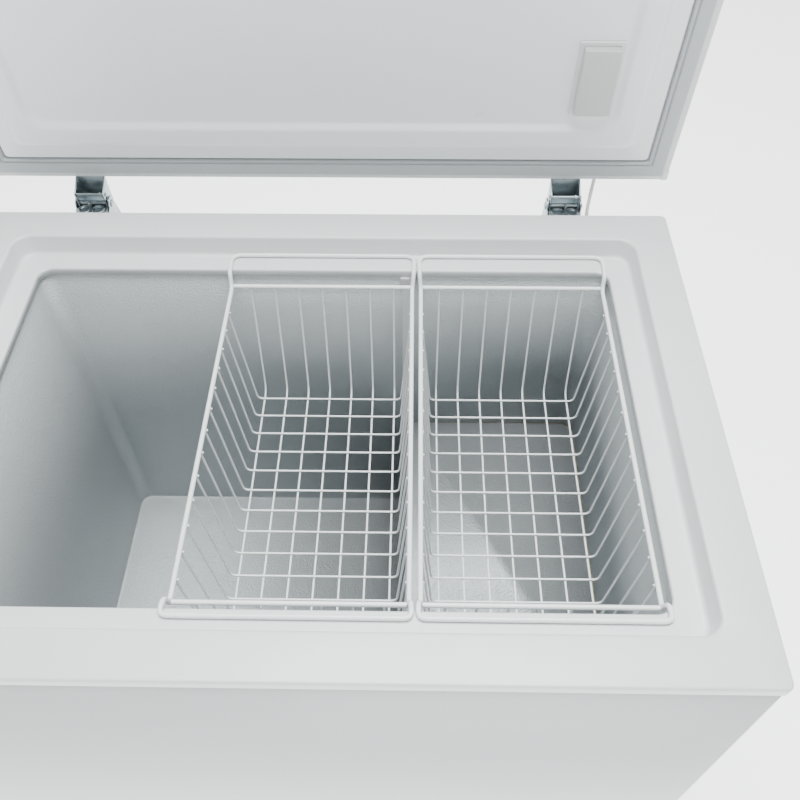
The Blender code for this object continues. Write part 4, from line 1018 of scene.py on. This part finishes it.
class FREEZER_OT_hinges(bpy.types.Operator):
    """Two sprung hinges: channels, leaves, pins, spring plates and springs"""

    bl_idname = "freezer.add_hinges"
    bl_label = "Hinges"

    def execute(self, context):
        for side, _ in SIDES:
            low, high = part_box(f"hinge_body_{side}")
            x = (low[0] + high[0]) / 2
            self.channel(side, x)
            self.leaf(side, x)
            self.springs(side, x)
        return {"FINISHED"}

    def channel(self, side, x):
        """A back plate, two ears, a seat for the springs, a rear web, and the pivot pin."""
        back = BACK_Y + 0.3 * MM
        wide = CHANNEL_HALF + MM
        bm = bmesh.new()
        low, high = (x - 26 * MM, back, CHANNEL_LOW), (x + 26 * MM, back + STEEL, RIM_Z - 20 * MM)
        rounded_box(bm, low, high, 0.4 * MM, 2)
        ear = [(back + 0.5 * MM, CHANNEL_LOW), (BACK_Y + 52 * MM, CHANNEL_LOW)]
        ear.append((BACK_Y + 60 * MM, PIVOT.z - 34 * MM))
        for step in range(13):
            turn = radians(-20 + 200 * step / 12)
            ear.append((PIVOT.y + 12 * MM * cos(turn), PIVOT.z + 12 * MM * sin(turn)))
        ear.append((back + 0.5 * MM, PIVOT.z - 20 * MM))
        for sign in (-1, 1):
            sheet_plate(bm, ear, x + sign * wide, STEEL)
        low = (x - wide, back, SPRING_SEAT - STEEL)
        rounded_box(bm, low, (x + wide, BACK_Y + 48 * MM, SPRING_SEAT), 0.3 * MM, 2)
        low = (x - wide, BACK_Y + 47.6 * MM, CHANNEL_LOW + 20 * MM)
        rounded_box(bm, low, (x + wide, BACK_Y + 49.4 * MM, PIVOT.z - 12 * MM), 0.3 * MM, 2)
        head = [(0, 3 * MM), (3 * MM, 2.6 * MM), (5 * MM, 0.6 * MM), (5 * MM, 0.0), (0, 0.0)]
        for rise in (30, 82):
            turned(bm, head, (x, back + STEEL, CHANNEL_LOW + rise * MM), (0, 1, 0), 20)
        piece(f"hinge_channel_{side}", bm, zinc(), "cabinet", [f"hinge_body_{side}"])
        bm = bmesh.new()
        self.pin(bm, (x, PIVOT.y, PIVOT.z), 3.9 * MM, 27.7 * MM, 5.6 * MM)
        piece(f"pivot_rivet_{side}", bm, zinc(), "cabinet", [f"pivot_pin_{side}"])

    def pin(self, bm, centre, radius, half, head):
        """A plain pin with a peened head at each end."""
        profile = [(0.0, -half - 1.2 * MM), (head * 0.6, -half - MM), (head, -half + 0.3 * MM)]
        profile += [(head, -half + 1.1 * MM), (radius, -half + 1.2 * MM)]
        profile += [(r, -z) for r, z in reversed(profile)]
        turned(bm, profile, centre, (1, 0, 0), 28)

    def leaf(self, side, x):
        """The lid's angle and cheeks, and the pin that pushes the spring plate."""
        half = 22 * MM
        rear = BACK_Y + 1.3 * MM - PIVOT.y
        left, right = x - half + MM, x + half - MM
        bm = bmesh.new()
        rounded_box(bm, (left, rear, 18 * MM), (right, rear + STEEL, 58 * MM), 0.5 * MM, 2)
        rounded_box(bm, (left, rear + 0.6 * MM, 18 * MM), (right, 14 * MM, 20 * MM), 0.5 * MM, 2)
        cam_y, cam_z = -20 * MM, -3 * MM
        cheek = [(15 * MM, 19.6 * MM), (rear + 0.4 * MM, 19.6 * MM), (rear + 0.4 * MM, 17 * MM)]
        for dy, dz in ((-6, -2), (-5, -6), (3, -6)):
            cheek.append((cam_y + dy * MM, cam_z + dz * MM))
        for step in range(11):
            turn = radians(-120 + 120 * step / 10)
            cheek.append((9 * MM * cos(turn), 9 * MM * sin(turn)))
        for sign in (-1, 1):
            sheet_plate(bm, cheek, x + sign * (half - MM), STEEL)
        head = [(0, 2.4 * MM), (3 * MM, 2.0 * MM), (4.4 * MM, 0.5 * MM), (4.4 * MM, 0.0), (0, 0.0)]
        for rise in (32, 50):
            turned(bm, head, (x, rear + STEEL, rise * MM), (0, 1, 0), 20)
        replaced = [f"hinge_leaf_{side}"]
        piece(f"lid_leaf_{side}", bm, zinc(), "lid", replaced, LID_PLACE)
        bm = bmesh.new()
        self.pin(bm, (x, cam_y, cam_z), 2.2 * MM, 23.2 * MM, 3.0 * MM)
        collar = [(2.3, -1.5), (4, -1.2), (4, 1.2), (2.3, 1.5)]
        collar = [(radius * MM, along * MM) for radius, along in collar]
        turned(bm, collar, (x + 15 * MM, cam_y, cam_z), (1, 0, 0), 20)
        replaced = [f"cam_pin_{side}"]
        piece(f"cam_rivet_{side}", bm, zinc(), "lid", replaced, LID_PLACE)

    def springs(self, side, x):
        """A plate with a tongue and two cups, and the springs that it squeezes."""
        bm = bmesh.new()
        low = (x - 23 * MM, PLATE_Y - 10 * MM, PLATE_TOP - STEEL)
        rounded_box(bm, low, (x + 23 * MM, PLATE_Y + 6 * MM, PLATE_TOP), 0.5 * MM, 2)
        low = (x - 1.5 * MM, PLATE_Y - 4 * MM, PLATE_TOP - MM)
        rounded_box(bm, low, (x + 1.5 * MM, PLATE_Y + 3 * MM, PLATE_TOP + 14 * MM), 0.5 * MM, 2)
        cup = [(7.2 * MM, -MM), (7.2 * MM, 3 * MM), (7.8 * MM, 3.8 * MM), (8.8 * MM, 3.8 * MM)]
        cup += [(9.6 * MM, 3 * MM), (9.6 * MM, -MM)]
        for sign in (-1, 1):
            turned(bm, cup, (x + sign * SPRING_APART, PLATE_Y - STEEL, PLATE_TOP), (0, 0, 1), 28)
        body = f"spring_plate_{side}"
        piece(f"push_plate_{side}", bm, zinc(), body, [body])

        wire, coil = 1.3 * MM, 8 * MM
        steps, turns = 16, 9
        start = SPRING_SEAT + 0.3 * MM + wire
        rise = PLATE_TOP - STEEL - 0.3 * MM - wire - start
        for number, sign in enumerate((-1, 1), 1):
            bm = bmesh.new()
            centre = Vector((x + sign * SPRING_APART, PLATE_Y, 0.0))
            path = []
            for step in range(turns * steps + 1):
                turn = 2 * pi * step / steps
                climb = start + rise * step / (turns * steps)
                path.append(centre + Vector((coil * cos(turn), coil * sin(turn), climb)))
            drawn_wire(bm, [path], wire, 2)
            name, replaced = f"lift_spring_{side}_{number}", [f"hinge_spring_{side}_{number}"]
            spring = piece(name, bm, zinc(), None, replaced, sharp=60)
            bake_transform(spring)


class FREEZER_OT_lamp(bpy.types.Operator):
    """The lamp under the lid and its cable"""

    bl_idname = "freezer.add_lamp"
    bl_label = "Lamp and cable"

    def execute(self, context):
        frosted = finish("cover", frosted_polycarbonate, "frosted polycarbonate", linear("#EDEFEE"))
        repaint("lamp_base", white_plastic())
        repaint("lamp_cover", frosted)
        repaint("lamp_cable_gland", white_plastic())
        sheath = ("clear PVC cable sheath", linear("#DFE1D6"), 0.35)
        look = finish("cable", frosted_polycarbonate, *sheath)
        low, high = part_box("lamp_cable_gland")
        start = Vector(((low[0] + high[0]) / 2, high[1] + 0.9 * MM, (low[2] + high[2]) / 2))
        # The route of the CAD cable, in millimetres from its gland.
        bends = ((0, 0, 0), (0, 6, 0), (-2, 22, 12), (-4, 31, 46), (1, 51, 66), (5, 63, 86))
        bends += ((6, 65, 96),)
        controls = [start + Vector(bend) * MM for bend in bends]
        bm = bmesh.new()
        drawn_wire(bm, [smooth_route(controls, 8)], 2.8 * MM, 4)
        cable = piece("lamp_lead", bm, look, None, ["lamp_cable"], sharp=60)
        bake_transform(cable)
        return {"FINISHED"}


def smooth_route(controls, steps):
    """A smooth curve through a route's own points."""
    route = []
    for i in range(len(controls) - 1):
        before, a = controls[max(i - 1, 0)], controls[i]
        b, after = controls[i + 1], controls[min(i + 2, len(controls) - 1)]
        for step in range(steps):
            t = step / steps
            point = 2 * a + (b - before) * t
            point += (2 * before - 5 * a + 4 * b - after) * t**2
            point += (3 * a - before - 3 * b + after) * t**3
            route.append(point / 2)
    return route + [controls[-1]]


class FREEZER_OT_controls(bpy.types.Operator):
    """Thermostat plate and knob, drain cap, vent, glands and the compressor behind the vent"""

    bl_idname = "freezer.add_controls"
    bl_label = "Controls and machinery"

    def execute(self, context):
        black = finish("black", black_moulding)
        repaint("compressor", finish("enamel", black_enamel))
        repaint("compressor_plate", finish("galvanised", galvanised_steel))
        repaint("suction_pipe", finish("copper", copper_tube))
        repaint("terminal_box", black)
        repaint("mains_cord_gland", black)
        for node in ("control_plate", "thermostat_knob", "drain_cap", "vent_grille"):
            repaint(node, white_plastic())
        return {"FINISHED"}


class FREEZER_OT_stage(bpy.types.Operator):
    """Floor, soft light and camera"""

    bl_idname = "freezer.add_stage"
    bl_label = "Stage"

    def execute(self, context):
        stage = context.scene.freezer_stage
        self.floor(context, stage)
        self.light(context)
        self.camera(context, stage)
        return {"FINISHED"}

    def floor(self, context, stage):
        """A wide pale floor that gives off a little light, like a lit sweep of paper."""
        bm = bmesh.new()
        bmesh.ops.create_grid(bm, x_segments=1, y_segments=1, size=80.0)
        mesh = bpy.data.meshes.new("studio_floor")
        bm.to_mesh(mesh)
        bm.free()
        floor = bpy.data.objects.new("studio_floor", mesh)
        context.scene.collection.objects.link(floor)
        look, tree, shader, where = new_material("matt studio floor", 0.9)
        tint = list(stage.floor)
        shade = blended(tree, noise(tree, where, 0.5), tint, dulled(tint, 0.99))
        connect(tree, shader, Base_Color=shade, Emission_Color=shade)
        shader.inputs["Emission Strength"].default_value = 2.2
        mesh.materials.append(look)

    def light(self, context):
        """An even white world, a softbox overhead and a fill in front."""
        world = bpy.data.worlds.new("soft studio")
        world.use_nodes = True
        background = world.node_tree.nodes["Background"]
        background.inputs["Color"].default_value = (1.0, 1.0, 1.0, 1.0)
        background.inputs["Strength"].default_value = 0.5
        context.scene.world = world
        for name, place, aim, power, width in (
            ("overhead softbox", (0.2, 0.15, 3.2), (0.1, 0.0, 0.5), 175.0, 1.5),
            ("front fill", (0.6, -4.4, 1.3), (0.0, 0.0, 1.1), 70.0, 2.2),
        ):
            light = bpy.data.lights.new(name, "AREA")
            light.energy = power
            light.size = width
            lamp = bpy.data.objects.new(name, light)
            lamp.location = place
            aim_line = Vector(aim) - Vector(place)
            lamp.rotation_euler = aim_line.to_track_quat("-Z", "Y").to_euler()
            context.scene.collection.objects.link(lamp)

    def camera(self, context, stage):
        """The camera at the photo's angle: over the front edge, looking down into the cavity."""
        lens = bpy.data.cameras.new("camera")
        lens.lens = stage.focal
        lens.sensor_width = 36.0
        lens.clip_start = 0.05
        camera = bpy.data.objects.new("camera", lens)
        spot = (0.1306, -0.6902, 1.5957)
        pitch, yaw, roll = radians(51.54), 0.0227, -0.0086
        right = Vector((cos(yaw), sin(yaw), 0.0))
        ahead = Vector((-sin(yaw), cos(yaw), 0.0))
        down = -ahead * sin(pitch) - Vector((0.0, 0.0, cos(pitch)))
        forward = ahead * cos(pitch) - Vector((0.0, 0.0, sin(pitch)))
        rolled_right = right * cos(roll) - down * sin(roll)
        rolled_down = right * sin(roll) + down * cos(roll)
        turn = Matrix((rolled_right, -rolled_down, -forward)).transposed()
        camera.matrix_world = Matrix.Translation(spot) @ turn.to_4x4()
        context.scene.collection.objects.link(camera)
        context.scene.camera = camera


GROUPS = (
    ("freezer_cabinet", FreezerCabinet),
    ("freezer_liner", FreezerLiner),
    ("freezer_basket", FreezerBasket),
    ("freezer_lid", FreezerLid),
    ("freezer_stage", FreezerStage),
)
OPERATORS = (
    FREEZER_OT_cabinet,
    FREEZER_OT_rim,
    FREEZER_OT_liner,
    FREEZER_OT_baskets,
    FREEZER_OT_lid,
    FREEZER_OT_hinges,
    FREEZER_OT_lamp,
    FREEZER_OT_controls,
    FREEZER_OT_stage,
)


class FREEZER_PT_panel(bpy.types.Panel):
    """Lists the freezer's settings and its pieces"""

    bl_label = "Chest Freezer"
    bl_idname = "FREEZER_PT_panel"
    bl_space_type = "VIEW_3D"
    bl_region_type = "UI"
    bl_category = "Freezer"

    def draw(self, context):
        for name, group in GROUPS:
            box = self.layout.box()
            box.label(text=group.__name__.replace("Freezer", ""))
            for setting in group.__annotations__:
                box.prop(getattr(context.scene, name), setting)
        for operator in OPERATORS:
            self.layout.operator(operator.bl_idname)


def register():
    for name, group in GROUPS:
        bpy.utils.register_class(group)
        setattr(bpy.types.Scene, name, bpy.props.PointerProperty(type=group))
    for operator in OPERATORS:
        bpy.utils.register_class(operator)
    bpy.utils.register_class(FREEZER_PT_panel)


def unregister():
    bpy.utils.unregister_class(FREEZER_PT_panel)
    for operator in reversed(OPERATORS):
        bpy.utils.unregister_class(operator)
    for name, group in reversed(GROUPS):
        delattr(bpy.types.Scene, name)
        bpy.utils.unregister_class(group)


def main():
    register()
    for operator in OPERATORS:
        group, call = operator.bl_idname.split(".")
        getattr(getattr(bpy.ops, group), call)()


if __name__ == "__main__":
    main()
